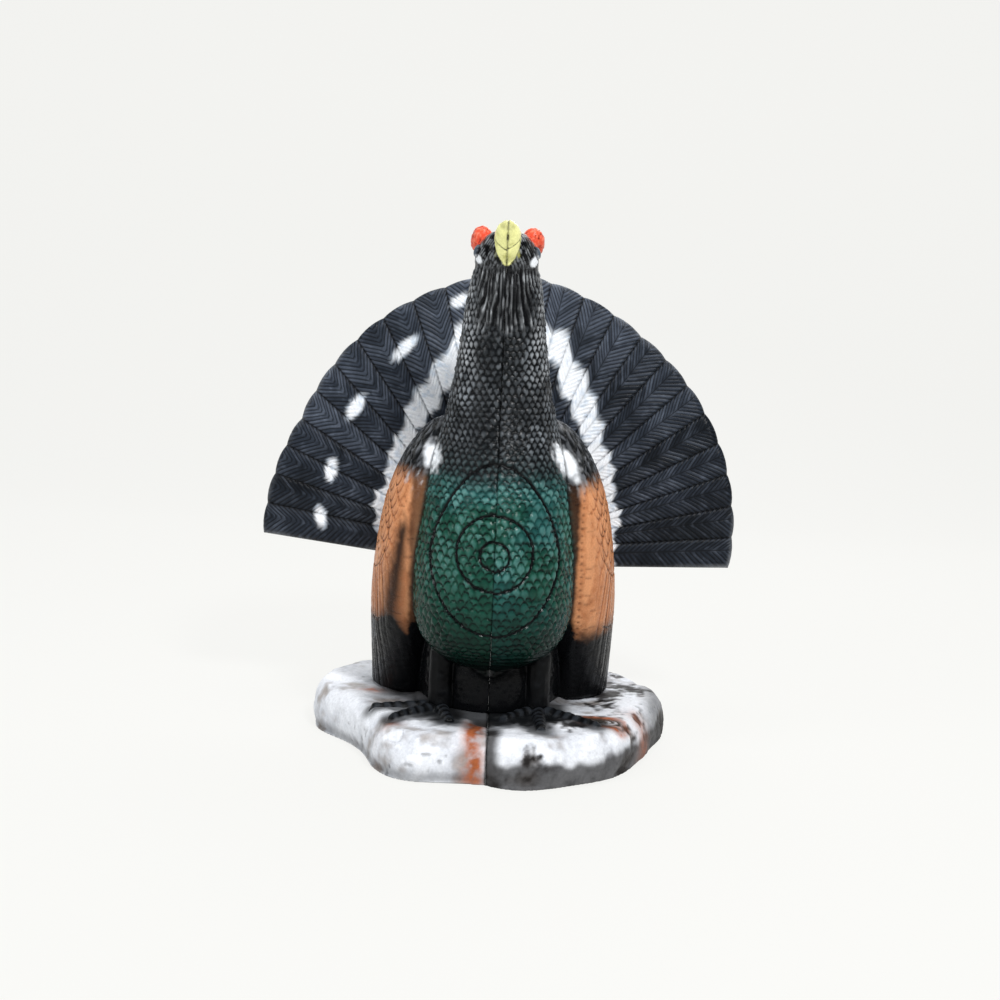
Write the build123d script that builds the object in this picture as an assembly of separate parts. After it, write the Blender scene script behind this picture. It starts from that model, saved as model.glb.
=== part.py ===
from build123d import *

import math
import os

# A foam capercaillie decoy in full display, standing on a rock base. Millimetres, +Z up.
# The bird faces -Y and its own left is +X. The origin is on the base's flat underside,
# midway between the two stake bores. Heights in the tables are measured from the base's top.

# Rock base: overall size, and its rim as shares of half the width and half the depth.
BASE_WIDTH = 480.0
BASE_DEPTH = 440.0
BASE_HEIGHT = 60.0
RIM_LEFT = [
    (0.00, -0.96), (0.20, -1.03), (0.46, -0.89), (0.65, -0.73), (0.83, -0.34), (0.95, 0.06),
    (1.01, 0.32), (0.93, 0.64), (0.78, 0.88), (0.40, 1.00), (0.00, 0.98),
]
RIM_RIGHT = [
    (0.00, -0.96), (-0.25, -0.95), (-0.43, -0.92), (-0.57, -0.76), (-0.67, -0.42), (-0.81, -0.12),
    (-0.97, 0.14), (-1.00, 0.42), (-0.98, 0.68), (-0.90, 0.89), (-0.72, 1.01), (-0.40, 1.02), (0.00, 0.98),
]
RIM_FOOT_TUCK = 4.0
RIM_BULGE_HEIGHT = 20.0
RIM_SHOULDER_HEIGHT = 44.0
RIM_SHOULDER_INSET = 5.0
RIM_TOP_INSET = 17.0

# Stakes stand in two closed tubes that are glued in the base and stand up into the body.
STAKE_BORE_RADIUS = 6.5
STAKE_SPREAD = 112.0
TUBE_WALL = 3.5
TUBE_END = 6.0
TUBE_FLANGE_RADIUS = 17.0
TUBE_FLANGE_THICKNESS = 3.0
SPIGOT_HEIGHT = 110.0
SPIGOT_TIP_CHAMFER = 2.0
SPIGOT_BORE_SPARE = 4.0

# Fits
SPIGOT_CLEARANCE = 0.5
GLUE_GAP = 0.2
TOE_CLEARANCE = 0.8
FAN_CLEARANCE = 0.5
TONGUE_CLEARANCE = 0.6

# Torso, neck and nape: height, front, widest line, back, half width.
TORSO = [
    (59, -100, -60, -10, 30),
    (70, -122, -55, 30, 66),
    (97, -140, -45, 80, 92),
    (140, -150, -30, 140, 104),
    (195, -153, -15, 170, 108),
    (260, -142, -10, 165, 104),
    (310, -126, -20, 125, 95),
    (348, -112, -30, 70, 80),
    (380, -102, -38, 35, 70),
    (420, -97, -42, 15, 62),
    (461, -94, -44, 8, 56),
    (500, -92, -46, 2, 51),
    (537, -91, -47, -3, 46),
    (562, -89, -50, -14, 40),
    (578, -80, -52, -26, 28),
]
# Pedestal and rump, under the torso: the same columns.
RUMP = [
    (0, -90, 90, 186, 102),
    (50, -87, 90, 194, 106),
    (110, -74, 90, 202, 112),
    (160, -56, 90, 204, 114),
    (205, -25, 90, 190, 102),
]
# Wing: height, centre across, centre fore and aft, radius across, radius fore and aft.
WING = [
    (0, 108, 92, 53, 80),
    (30, 108, 86, 54, 84),
    (70, 107, 75, 56, 93),
    (140, 104, 55, 59, 105),
    (210, 98, 40, 58, 105),
    (270, 88, 25, 56, 95),
    (310, 78, 15, 51, 80),
    (345, 70, 10, 38, 60),
    (363, 66, 8, 24, 40),
    (371, 64, 8, 9, 16),
]

# Head, raised so that the beak points forward and up.
HEAD_TILT = 41.0
HEAD_HEIGHT = 570.0
HEAD_FORWARD = -52.0
HEAD_HALF_WIDTH = 40.0
HEAD_HALF_LENGTH = 50.0
HEAD_HALF_DEPTH = 36.0
BROW_RADII = (20.0, 13.0, 13.5)
BROW_OUT = 32.0
BROW_ALONG = 8.0
BROW_UP = 29.5
BEAK_ROOT_ALONG = 38.0
BEAK_ROOT_UP = -10.0
BEAK_LENGTH = 54.0
BEAK_HOOK = 7.0
BEAK_STATIONS = [(0.00, 15.0, 19.0), (0.40, 16.5, 17.0), (0.70, 14.0, 12.5), (0.90, 9.0, 8.0), (1.00, 3.5, 3.5)]

# Legs in relief on the pedestal, and toes in relief on the base: each toe's turn outward
# from straight ahead, in degrees, and its length.
LEG_OUT = 63.0
LEG_FORWARD = -66.0
LEG_RADIUS = 15.0
LEG_TOP = 80.0
TOE_ROOT_RADIUS = 10.0
TOE_TIP_RADIUS = 5.5
LEFT_TOES = [(-42.0, 64.0), (2.0, 92.0), (50.0, 96.0)]
RIGHT_TOES = [(-12.0, 74.0), (42.0, 84.0), (80.0, 88.0)]

# Tail fan: feathers spread from one root, which stands above the ledge that the fan rests on.
# The extra lengths are evenly spaced round the span, from the bird's left to its right.
FEATHER_COUNT = 24
FAN_SPAN = 180.0
FAN_CANT = -2.0
FAN_SIDE_RADIUS = 333.0
FAN_EXTRA = [0.0, 19.0, 34.0, 60.0, 32.0, -1.0, -3.0]
FEATHER_TIP_DEPTH = 4.0
FAN_THICKNESS = 28.0
FAN_ROOT_RISE = 20.0
FAN_FLAT_WIDTH = 130.0
FAN_TILT = 5.0
FAN_BACK = 169.0
LEDGE_HEIGHT = 152.0

# Board that joins the fan to the body, and the sleeve that it slides into.
TONGUE_WIDTH = 100.0
TONGUE_THICKNESS = 12.0
TONGUE_IN_FAN = 120.0
TONGUE_DEPTH = 90.0
TONGUE_CHAMFER = 3.0
SOCKET_WALL = 3.0
SOCKET_SPARE = 3.0

# Dowels across the mid-plane, each a fore-and-aft place and a height, and the neck's rod.
BODY_DOWEL_RADIUS = 6.0
BODY_DOWEL_REACH = 26.0
BODY_DOWELS = [(-100.0, 130.0), (-100.0, 232.0), (60.0, 90.0), (70.0, 226.0)]
BASE_DOWEL_RADIUS = 8.0
BASE_DOWEL_REACH = 36.0
BASE_DOWELS = [-150.0, 10.0, 165.0]
NECK_ROD_RADIUS = 6.0
NECK_ROD_FORWARD = -46.0
NECK_ROD_LOW = 240.0
NECK_ROD_HIGH = 530.0

ledge_z = BASE_HEIGHT + LEDGE_HEIGHT
stake_x = STAKE_SPREAD / 2
tube_radius = STAKE_BORE_RADIUS + TUBE_WALL
fan_seat = Location((0, FAN_BACK, ledge_z), (-FAN_TILT, 0, 0))
head_seat = Location((0, HEAD_FORWARD, BASE_HEIGHT + HEAD_HEIGHT), (-HEAD_TILT, 0, 0))


def upright(radius, low, high, x=0.0, y=0.0):
    """A vertical cylinder between two heights."""
    return Pos(x, y, (low + high) / 2) * Cylinder(radius, high - low)


def crossbar(radius, reach, y, z):
    """A cylinder along X that reaches as far to each side of the mid-plane."""
    return Pos(0, y, z) * Rot(Y=90) * Cylinder(radius, 2 * reach)


def ellipsoid(radius_x, radius_y, radius_z):
    return scale(Sphere(1), by=(radius_x, radius_y, radius_z))


def left_side(shape):
    return split(shape, bisect_by=Plane.YZ, keep=Keep.TOP)


# ---- body ----


def egg_section(height, front, widest, back, half_width):
    """A level section: two half ellipses that meet at the widest line."""
    fore = EllipticalCenterArc((0, widest), half_width, widest - front, start_angle=180, arc_size=180)
    aft = EllipticalCenterArc((0, widest), half_width, back - widest, start_angle=0, arc_size=180)
    return Pos(0, 0, BASE_HEIGHT + height) * make_face(fore + aft)


def make_torso():
    return loft([egg_section(*station) for station in TORSO])


def make_rump():
    return loft([egg_section(*station) for station in RUMP])


def make_wing():
    sections = [
        Pos(x, y, BASE_HEIGHT + height) * Ellipse(across, along)
        for height, x, y, across, along in WING
    ]
    return loft(sections)


def make_beak():
    """Sections along the beak, drooping towards the tip by the square of the way along."""
    sections = []
    for share, across, deep in BEAK_STATIONS:
        along = BEAK_ROOT_ALONG + share * BEAK_LENGTH
        up = BEAK_ROOT_UP - share**2 * BEAK_HOOK
        sections.append(head_seat * Pos(0, -along, up) * Rot(X=90) * Ellipse(across, deep))
    return loft(sections)


def make_brow():
    long, wide, high = BROW_RADII
    return head_seat * Pos(BROW_OUT, -BROW_ALONG, BROW_UP) * ellipsoid(wide, long, high)


def make_head():
    skull = head_seat * ellipsoid(HEAD_HALF_WIDTH, HEAD_HALF_LENGTH, HEAD_HALF_DEPTH)
    return skull + make_beak() + make_brow()


def make_leg():
    return upright(LEG_RADIUS, BASE_HEIGHT, BASE_HEIGHT + LEG_TOP, LEG_OUT, LEG_FORWARD)


def fan_notch():
    """Everything over the ledge and behind the fan's front face."""
    size = 4 * FAN_SIDE_RADIUS
    front = -FAN_THICKNESS / 2 - FAN_CLEARANCE
    return fan_seat * Pos(0, front + size / 2, size / 2) * Box(size, size, size)


def spigot_bore():
    radius = tube_radius + SPIGOT_CLEARANCE
    top = BASE_HEIGHT + SPIGOT_HEIGHT + SPIGOT_BORE_SPARE
    return upright(radius, BASE_HEIGHT, top, stake_x)


def body_dowels(gap=0.0):
    return [
        crossbar(BODY_DOWEL_RADIUS + gap, BODY_DOWEL_REACH, y, BASE_HEIGHT + height)
        for y, height in BODY_DOWELS
    ]


def neck_rod(gap=0.0):
    low = BASE_HEIGHT + NECK_ROD_LOW
    high = BASE_HEIGHT + NECK_ROD_HIGH
    return upright(NECK_ROD_RADIUS + gap, low, high, 0, NECK_ROD_FORWARD)


def make_left_body_half():
    body = make_torso() + make_rump() + make_wing() + make_head() + make_leg()
    half = left_side(body) - fan_notch() - socket_block() - spigot_bore() - neck_rod(GLUE_GAP)
    for dowel in body_dowels(GLUE_GAP):
        half -= dowel
    return half


# ---- tail ----


def fan_radius(angle):
    """Feather length: the extra over the side feathers runs straight from one value to the next."""
    step = FAN_SPAN / (len(FAN_EXTRA) - 1)
    place = min(int(angle / step), len(FAN_EXTRA) - 2)
    share = angle / step - place
    extra = FAN_EXTRA[place] + share * (FAN_EXTRA[place + 1] - FAN_EXTRA[place])
    return FAN_SIDE_RADIUS + extra


def fan_point(angle, short=0.0):
    radius = fan_radius(angle) - short
    turned = math.radians(angle + FAN_CANT)
    return (radius * math.cos(turned), FAN_ROOT_RISE + radius * math.sin(turned))


def fan_outline():
    """A flat foot, two straight lower edges and one round tip to each feather."""
    step = FAN_SPAN / FEATHER_COUNT
    tips = []
    for feather in range(FEATHER_COUNT):
        start = fan_point(feather * step, FEATHER_TIP_DEPTH)
        middle = fan_point((feather + 0.5) * step)
        end = fan_point((feather + 1) * step, FEATHER_TIP_DEPTH)
        tips.append(ThreePointArc(start, middle, end))
    half_flat = FAN_FLAT_WIDTH / 2
    foot = Polyline(tips[-1] @ 1, (-half_flat, 0), (half_flat, 0), tips[0] @ 0)
    return make_face(Curve() + tips + foot)


def make_tongue():
    length = TONGUE_IN_FAN + TONGUE_DEPTH
    board = Pos(0, 0, (TONGUE_IN_FAN - TONGUE_DEPTH) / 2) * Box(TONGUE_WIDTH, TONGUE_THICKNESS, length)
    lower_end = board.faces().sort_by(Axis.Z)[0]
    return fan_seat * chamfer(lower_end.edges(), TONGUE_CHAMFER)


def make_fan():
    plate = extrude(Plane.XZ * fan_outline(), amount=FAN_THICKNESS / 2, both=True)
    pocket = Pos(0, 0, TONGUE_IN_FAN / 2) * Box(TONGUE_WIDTH, TONGUE_THICKNESS, TONGUE_IN_FAN)
    return fan_seat * (plate - pocket)


def sleeve(grow, depth):
    """A block below the ledge, larger than the tongue by the same amount on every side."""
    width = TONGUE_WIDTH + 2 * grow
    thickness = TONGUE_THICKNESS + 2 * grow
    return fan_seat * Pos(0, 0, -depth / 2) * Box(width, thickness, depth)


def socket_block():
    depth = TONGUE_DEPTH + SOCKET_SPARE + SOCKET_WALL
    return sleeve(TONGUE_CLEARANCE + SOCKET_WALL, depth)


def make_socket():
    return socket_block() - sleeve(TONGUE_CLEARANCE, TONGUE_DEPTH + SOCKET_SPARE)


# ---- base ----


def rim_section(rim, height, inset):
    """One half of the base at a height, its rim moved in towards the middle."""
    points = []
    for u, v in rim:
        x = u * BASE_WIDTH / 2
        y = v * BASE_DEPTH / 2
        share = 1 - inset / math.hypot(x, y)
        points.append((x * share, y * share))
    edge = Spline(*points)
    return Pos(0, 0, height) * make_face(edge + Line(edge @ 1, edge @ 0))


def rock_half(rim):
    levels = [
        (0, RIM_FOOT_TUCK),
        (RIM_BULGE_HEIGHT, 0),
        (RIM_SHOULDER_HEIGHT, RIM_SHOULDER_INSET),
        (BASE_HEIGHT, RIM_TOP_INSET),
    ]
    return loft([rim_section(rim, height, inset) for height, inset in levels], ruled=True)


def foot_toes(toes_of_foot, side):
    """Toes that fan out from the ankle, half sunk in the rock."""
    toes = Part()
    for turn, length in toes_of_foot:
        toe = Cone(TOE_ROOT_RADIUS, TOE_TIP_RADIUS, length, align=(Align.CENTER, Align.CENTER, Align.MIN))
        ankle = Pos(side * LEG_OUT, LEG_FORWARD, BASE_HEIGHT)
        toes += ankle * Rot(Z=side * turn) * Rot(X=90) * toe
    return toes


def pedestal_room():
    """The space that the pedestal and the legs stand in, so that the toes stop short of them."""
    height, front, widest, back, half_width = RUMP[0]
    grown = (height, front - TOE_CLEARANCE, widest, back, half_width + TOE_CLEARANCE)
    room = extrude(egg_section(*grown), amount=TOE_ROOT_RADIUS * 2, dir=(0, 0, 1))
    top = BASE_HEIGHT + TOE_ROOT_RADIUS * 2
    for side in (-1, 1):
        room += upright(LEG_RADIUS + TOE_CLEARANCE, BASE_HEIGHT, top, side * LEG_OUT, LEG_FORWARD)
    return room


def tube_seat(side):
    bore = upright(tube_radius + GLUE_GAP, 0, BASE_HEIGHT, side * stake_x)
    recess = upright(TUBE_FLANGE_RADIUS + GLUE_GAP, 0, TUBE_FLANGE_THICKNESS, side * stake_x)
    return bore + recess


def base_dowels(gap=0.0):
    return [crossbar(BASE_DOWEL_RADIUS + gap, BASE_DOWEL_REACH, y, BASE_HEIGHT / 2) for y in BASE_DOWELS]


def make_base_half(rim, toes_of_foot, side):
    toes = foot_toes(toes_of_foot, side) - pedestal_room()
    half = rock_half(rim) + toes - tube_seat(side)
    for dowel in base_dowels(GLUE_GAP):
        half -= dowel
    return half


def make_stake_tube(side):
    top = BASE_HEIGHT + SPIGOT_HEIGHT
    outside = upright(tube_radius, 0, top, side * stake_x)
    outside = chamfer(outside.faces().sort_by(Axis.Z)[-1].edges(), SPIGOT_TIP_CHAMFER)
    flange = upright(TUBE_FLANGE_RADIUS, 0, TUBE_FLANGE_THICKNESS, side * stake_x)
    bore = upright(STAKE_BORE_RADIUS, 0, top - TUBE_END, side * stake_x)
    return outside + flange - bore


left_body = make_left_body_half()
nodes = {
    "left_body_half": left_body,
    "right_body_half": mirror(left_body, about=Plane.YZ),
    "body_dowels": Compound(children=body_dowels()),
    "neck_rod": neck_rod(),
    "tail_socket": make_socket(),
    "tail_fan": make_fan(),
    "tail_tongue": make_tongue(),
    "left_base_half": make_base_half(RIM_LEFT, LEFT_TOES, 1),
    "right_base_half": make_base_half(RIM_RIGHT, RIGHT_TOES, -1),
    "base_dowels": Compound(children=base_dowels()),
    "left_stake_tube": make_stake_tube(1),
    "right_stake_tube": make_stake_tube(-1),
}
os.makedirs("parts", exist_ok=True)
for name, shape in nodes.items():
    export_step(shape, f"parts/{name}.step")
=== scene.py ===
import math

import bmesh
import bpy
import numpy as np
from mathutils import Matrix, Vector


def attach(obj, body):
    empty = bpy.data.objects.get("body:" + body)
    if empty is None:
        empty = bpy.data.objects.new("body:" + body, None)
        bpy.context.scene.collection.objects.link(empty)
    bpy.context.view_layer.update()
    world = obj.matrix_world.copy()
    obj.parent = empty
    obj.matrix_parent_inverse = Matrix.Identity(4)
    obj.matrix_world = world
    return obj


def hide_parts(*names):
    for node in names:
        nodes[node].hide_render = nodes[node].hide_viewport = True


# A foam capercaillie decoy, cast in halves and sprayed by hand. Shapes are worked out in
# millimetres and written in metres. The bird faces -Y and its own left is +X.
MM = 0.001
BASE_TOP = 60.0

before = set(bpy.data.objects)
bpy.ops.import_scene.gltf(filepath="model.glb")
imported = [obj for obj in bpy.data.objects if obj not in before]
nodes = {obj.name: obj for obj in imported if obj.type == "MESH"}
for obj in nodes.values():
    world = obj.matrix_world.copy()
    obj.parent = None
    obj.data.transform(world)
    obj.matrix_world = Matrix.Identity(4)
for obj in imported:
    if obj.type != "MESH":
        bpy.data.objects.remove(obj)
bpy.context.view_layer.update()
scene = bpy.context.scene


# ---- numbers ----


def linear(red, green, blue):
    """A screen colour, 0 to 255, as the linear light that a shader takes."""
    share = np.array([red, green, blue], float) / 255
    return np.where(share <= 0.04045, share / 12.92, ((share + 0.055) / 1.055) ** 2.4)


def smooth(low, high, x):
    """0 below low, 1 above high, and an easy curve between. low may be above high."""
    t = np.clip((np.asarray(x, float) - low) / (high - low), 0, 1)
    return t * t * (3 - 2 * t)


def bell(x, width):
    return np.exp(-((np.asarray(x, float) / width) ** 2))


def hashed(a, b, c, seed=0):
    """A repeatable number from 0 to 1 for each trio of whole numbers."""
    a, b, c = (np.asarray(k).astype(np.int64).astype(np.uint32) for k in (a, b, c))
    mixed = a * np.uint32(374761393) + b * np.uint32(668265263) + c * np.uint32(2246822519)
    mixed = mixed + np.uint32((seed * 3266489917 + 374761393) % 2**32)
    mixed = (mixed ^ (mixed >> np.uint32(13))) * np.uint32(1274126177)
    mixed = (mixed ^ (mixed >> np.uint32(16))) * np.uint32(2654435761)
    mixed = mixed ^ (mixed >> np.uint32(15))
    return mixed.astype(float) / 2**32


def noise(points, size, seed=0):
    """Smooth lumps about size across, from -1 to 1."""
    q = np.asarray(points, float) / size
    cell = np.floor(q)
    part = q - cell
    part = part * part * (3 - 2 * part)
    total = np.zeros(len(q))
    for dx in (0, 1):
        for dy in (0, 1):
            for dz in (0, 1):
                weight = (
                    (part[:, 0] if dx else 1 - part[:, 0])
                    * (part[:, 1] if dy else 1 - part[:, 1])
                    * (part[:, 2] if dz else 1 - part[:, 2])
                )
                total += weight * hashed(cell[:, 0] + dx, cell[:, 1] + dy, cell[:, 2] + dz, seed)
    return total * 2 - 1


def fbm(points, size, octaves=3, seed=0):
    total = sum(noise(points, size / 2**k, seed + k) / 2**k for k in range(octaves))
    return total / (2 - 2 ** (1 - octaves))


def columns(*values):
    """Numbers or arrays side by side, as points."""
    shape = np.broadcast(*values).shape
    return np.stack([np.broadcast_to(np.asarray(v, float), shape) for v in values], axis=-1)


def hermite(table, at):
    """The rows of a table, smoothly between its first column's values."""
    table = np.asarray(table, float)
    knots = table[:, 0]
    slopes = np.gradient(table, knots, axis=0)
    at = np.clip(at, knots[0], knots[-1])
    i = np.clip(np.searchsorted(knots, at, side="right") - 1, 0, len(knots) - 2)
    span = (knots[i + 1] - knots[i])[:, None]
    t = (at - knots[i])[:, None] / span
    low = (1 + 2 * t) * (1 - t) ** 2 * table[i] + t * (1 - t) ** 2 * span * slopes[i]
    high = t * t * (3 - 2 * t) * table[i + 1] + t * t * (t - 1) * span * slopes[i + 1]
    return (low + high).T


def mix(first, second, share):
    """Colours, one row each, from first to second."""
    share = np.asarray(share, float)[..., None]
    return first * (1 - share) + second * share


# ---- colours ----

BLACK = linear(9, 10, 12)
SOOT = linear(17, 19, 21)
NECK_DARK = linear(14, 16, 18)
NECK_LIGHT = linear(118, 124, 130)
GREEN_DEEP = linear(5, 17, 15)
GREEN = linear(27, 74, 60)
TEAL = linear(34, 82, 80)
TEAL_LIGHT = linear(98, 146, 142)
BROWN = linear(172, 106, 66)
BROWN_LIGHT = linear(212, 148, 104)
WHITE = linear(243, 247, 252)
SLATE = linear(44, 51, 62)
SLATE_LIGHT = linear(98, 107, 122)
SLATE_DARK = linear(24, 29, 36)
BEAK_YELLOW = linear(247, 246, 170)
BEAK_SHADE = linear(205, 204, 120)
BROW_RED = linear(226, 88, 62)
EYE_GREY = linear(74, 84, 96)
SNOW = linear(236, 239, 245)
SNOW_SHADE = linear(160, 166, 178)
ROCK = linear(72, 71, 72)
ROCK_DARK = linear(34, 31, 30)
FOAM_DARK = linear(58, 59, 60)
FOAM_LIGHT = linear(84, 85, 86)
RUST = linear(174, 98, 60)


# ---- the bird's masses, as part.py sets them out: heights are above the base's top ----

# height, front, widest line, back, half width
TORSO = [
    (59, -100, -60, -10, 30), (70, -122, -55, 30, 66), (97, -140, -45, 80, 92), (140, -150, -30, 140, 104),
    (195, -153, -15, 170, 108), (260, -142, -10, 165, 104), (310, -126, -20, 125, 95), (348, -112, -30,
        70, 80),
    (380, -102, -38, 35, 70), (420, -97, -42, 15, 62), (461, -94, -44, 8, 56), (500, -92, -46, 2, 51),
    (537, -91, -47, -3, 46), (562, -89, -50, -14, 40), (578, -80, -52, -26, 28),
]
RUMP = [
    (0, -90, 90, 186, 102), (50, -87, 90, 194, 106), (110, -74, 90, 202, 112), (160, -56, 90, 204, 114),
    (205, -25, 90, 190, 102),
]
# height, centre across, centre fore and aft, radius across, radius fore and aft
WING = [
    (0, 108, 92, 53, 80), (30, 108, 86, 54, 84), (70, 107, 75, 56, 93), (140, 104, 55, 59, 105),
    (210, 98, 40, 58, 105), (270, 88, 25, 56, 95), (310, 78, 15, 51, 80), (345, 70, 10, 38, 60),
    (363, 66, 8, 24, 40), (371, 64, 8, 9, 16),
]
HEAD_TILT = math.radians(41)
HEAD_AT = (0.0, -52.0, 630.0)
HEAD_RADII = (40.0, 50.0, 36.0)
BROW_AT = (32.0, 8.0, 29.5)
BROW_RADII = (20.0, 13.0, 13.5)
BEAK_ROOT = 38.0
BEAK_LONG = 54.0
BEAK_UP = -10.0
BEAK_HOOK = 7.0
# share along, half width, half depth
BEAK = [(0.00, 15.0, 19.0), (0.40, 16.5, 17.0), (0.70, 14.0, 12.5), (0.90, 9.0, 8.0), (1.00, 3.5, 3.5)]
LEG_OUT = 63.0
LEG_FORWARD = -66.0
LEG_RADIUS = 15.0
LEG_TOP = 80.0
FAN_BACK = 169.0
LEDGE_Z = BASE_TOP + 152.0
FAN_TILT = math.radians(5)
FAN_HALF = 14.0


def egg_coordinates(x, y, height, table):
    """How far a point stands off a lofted egg, its place round it from the front, and the way along."""
    _, front, widest, back, half = hermite(table, height)
    deep = np.where(y < widest, widest - front, back - widest)
    round_ = np.arctan2(x / half, -(y - widest) / deep)
    reach = np.hypot(x, y - widest)
    share = np.maximum(np.hypot(x / half, (y - widest) / deep), 1e-6)
    fore_radius = np.sqrt((half**2 + (widest - front) ** 2) / 2)
    aft_radius = np.sqrt((half**2 + (back - widest) ** 2) / 2)
    quarter = math.pi / 2
    turned = np.abs(round_)
    along = np.minimum(turned, quarter) * fore_radius + np.maximum(turned - quarter, 0) * aft_radius
    off = reach - reach / share
    off = off + np.maximum(np.maximum(table[0][0] - height, height - table[-1][0]), 0)
    return off, round_, along * np.sign(round_)


def wing_coordinates(across, y, height):
    _, centre, middle, wide, long = hermite(WING, height)
    dx, dy = across - centre, y - middle
    reach = np.hypot(dx, dy)
    share = np.maximum(np.hypot(dx / wide, dy / long), 1e-6)
    off = reach - reach / share + np.maximum(height - WING[-1][0], 0)
    return off, np.arctan2(dx / wide, -dy / long), dy, wide, long


def head_coordinates(x, y, z):
    """Across, forward and up in the head's own lean."""
    dy, dz = y - HEAD_AT[1], z - HEAD_AT[2]
    forward = math.cos(HEAD_TILT) * -dy + math.sin(HEAD_TILT) * dz
    up = math.sin(HEAD_TILT) * dy + math.cos(HEAD_TILT) * dz
    return x, forward, up


def fan_coordinates(y, z):
    """Behind the fan's middle plane, and up it from the ledge."""
    dy, dz = y - FAN_BACK, z - LEDGE_Z
    behind = math.cos(FAN_TILT) * dy - math.sin(FAN_TILT) * dz
    up = math.sin(FAN_TILT) * dy + math.cos(FAN_TILT) * dz
    return behind, up


def scales(along, rows, pitch_of_row, arch=1.25, seed=0, wobble=0.22):
    """Overlapping round-topped scales, row over row, with one column pitch to each row.

    Returns how domed a point is, how deep it is in the groove round its scale, and a number for
    its scale, each from 0 to 1.
    """
    base = np.floor(rows)
    tops, ids, leans = [], [], []
    for step in (-2, -1, 0, 1):
        row = base + step
        u = along / pitch_of_row(row) + 0.5 * np.mod(row, 2)
        column = np.round(u)
        du = u - column
        lift = (hashed(row + 500, column + 500, 0, seed) - 0.5) * 2 * wobble
        arc = np.sqrt(np.maximum(1 - (1.9 * du) ** 2, 0))
        tops.append(row + arch * arc * (1 + lift * 0.5) + 0.3 + lift * 0.4)
        ids.append(hashed(row + 500, column + 500, 7, seed))
        leans.append(du)
    owner = np.full(len(rows), 3)
    for k in (2, 1):
        owner = np.where(rows < tops[k], k, owner)
    under = np.maximum(np.choose(owner, tops) - rows, 0)
    over = np.maximum(rows - np.choose(owner - 1, tops), 0)
    lean = np.choose(owner, leans)
    share = over / np.maximum(over + under, 1e-6)
    dome = np.maximum(1 - (1.7 * lean) ** 2, 0) * np.sin(math.pi * np.clip(share, 0, 1) ** 0.8)
    groove = np.maximum(bell(over, 0.16), bell(under, 0.09))
    crescent = groove * smooth(0.5, 0.12, np.abs(lean))
    return dome, crescent, np.choose(owner, ids)


# ---- meshes ----


def points_of(mesh):
    co = np.empty(len(mesh.vertices) * 3, np.float32)
    mesh.vertices.foreach_get("co", co)
    return co.reshape(-1, 3).astype(float)


def normals_of(mesh):
    normals = np.empty(len(mesh.vertices) * 3, np.float32)
    mesh.vertex_normals.foreach_get("vector", normals)
    return normals.reshape(-1, 3).astype(float)


def set_points(mesh, points):
    mesh.vertices.foreach_set("co", np.asarray(points, np.float32).ravel())
    mesh.update()


def put_attribute(mesh, name, values):
    """One number or one colour to each vertex."""
    values = np.asarray(values, np.float32)
    if values.ndim == 1:
        layer = mesh.attributes.new(name, "FLOAT", "POINT")
        layer.data.foreach_set("value", values)
        return
    layer = mesh.attributes.new(name, "FLOAT_COLOR", "POINT")
    padded = np.ones((len(values), 4), np.float32)
    padded[:, :3] = np.clip(values, 0, 1)
    layer.data.foreach_set("color", padded.ravel())


def applied(obj):
    """The object with its modifiers made part of its mesh."""
    graph = bpy.context.evaluated_depsgraph_get()
    mesh = bpy.data.meshes.new_from_object(obj.evaluated_get(graph))
    old = obj.data
    obj.modifiers.clear()
    obj.data = mesh
    bpy.data.meshes.remove(old)
    return obj


def dense_copy(node, name, voxel):
    """A finely and evenly meshed copy of a CAD node, as a new object."""
    obj = bpy.data.objects.new(name, nodes[node].data.copy())
    scene.collection.objects.link(obj)
    obj.data.materials.clear()
    remesh = obj.modifiers.new("remesh", "REMESH")
    remesh.mode = "VOXEL"
    remesh.voxel_size = voxel * MM
    return applied(obj)


def softened(obj, free, times):
    """Rounds the mesh's edges where free is 1, and leaves it alone where free is 0."""
    group = obj.vertex_groups.new(name="free")
    for level in range(1, 5):
        chosen = np.flatnonzero((free > (level - 1) / 4) & (free <= level / 4)).tolist()
        group.add(chosen, level / 4, "REPLACE")
    rounder = obj.modifiers.new("round", "SMOOTH")
    rounder.factor = 0.5
    rounder.iterations = times
    rounder.vertex_group = "free"
    applied(obj)
    obj.vertex_groups.clear()
    return obj


def thinned(obj, most):
    """Fewer triangles where the surface is flat, to stay under the most that a piece may have."""
    count = sum(len(p.vertices) - 2 for p in obj.data.polygons)
    if count > most:
        reduce = obj.modifiers.new("thin", "DECIMATE")
        reduce.ratio = most / count
        applied(obj)
    return obj


def finish_piece(obj, body, slot, material, *replaced):
    obj.data.materials.clear()
    obj.data.materials.append(material)
    obj.data.polygons.foreach_set("use_smooth", np.ones(len(obj.data.polygons), bool))
    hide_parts(*replaced)
    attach(obj, body)
    return obj


# ---- materials ----

PAINT_SPECULAR = 0.11


def shader_tree(name):
    material = bpy.data.materials.new(name)
    material.use_nodes = True
    tree = material.node_tree
    return material, tree, tree.nodes["Principled BSDF"]


def add_node(tree, kind, **settings):
    node = tree.nodes.new(kind)
    for key, value in settings.items():
        if key in node.inputs.keys():
            node.inputs[key].default_value = value
        else:
            setattr(node, key, value)
    return node


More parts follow.
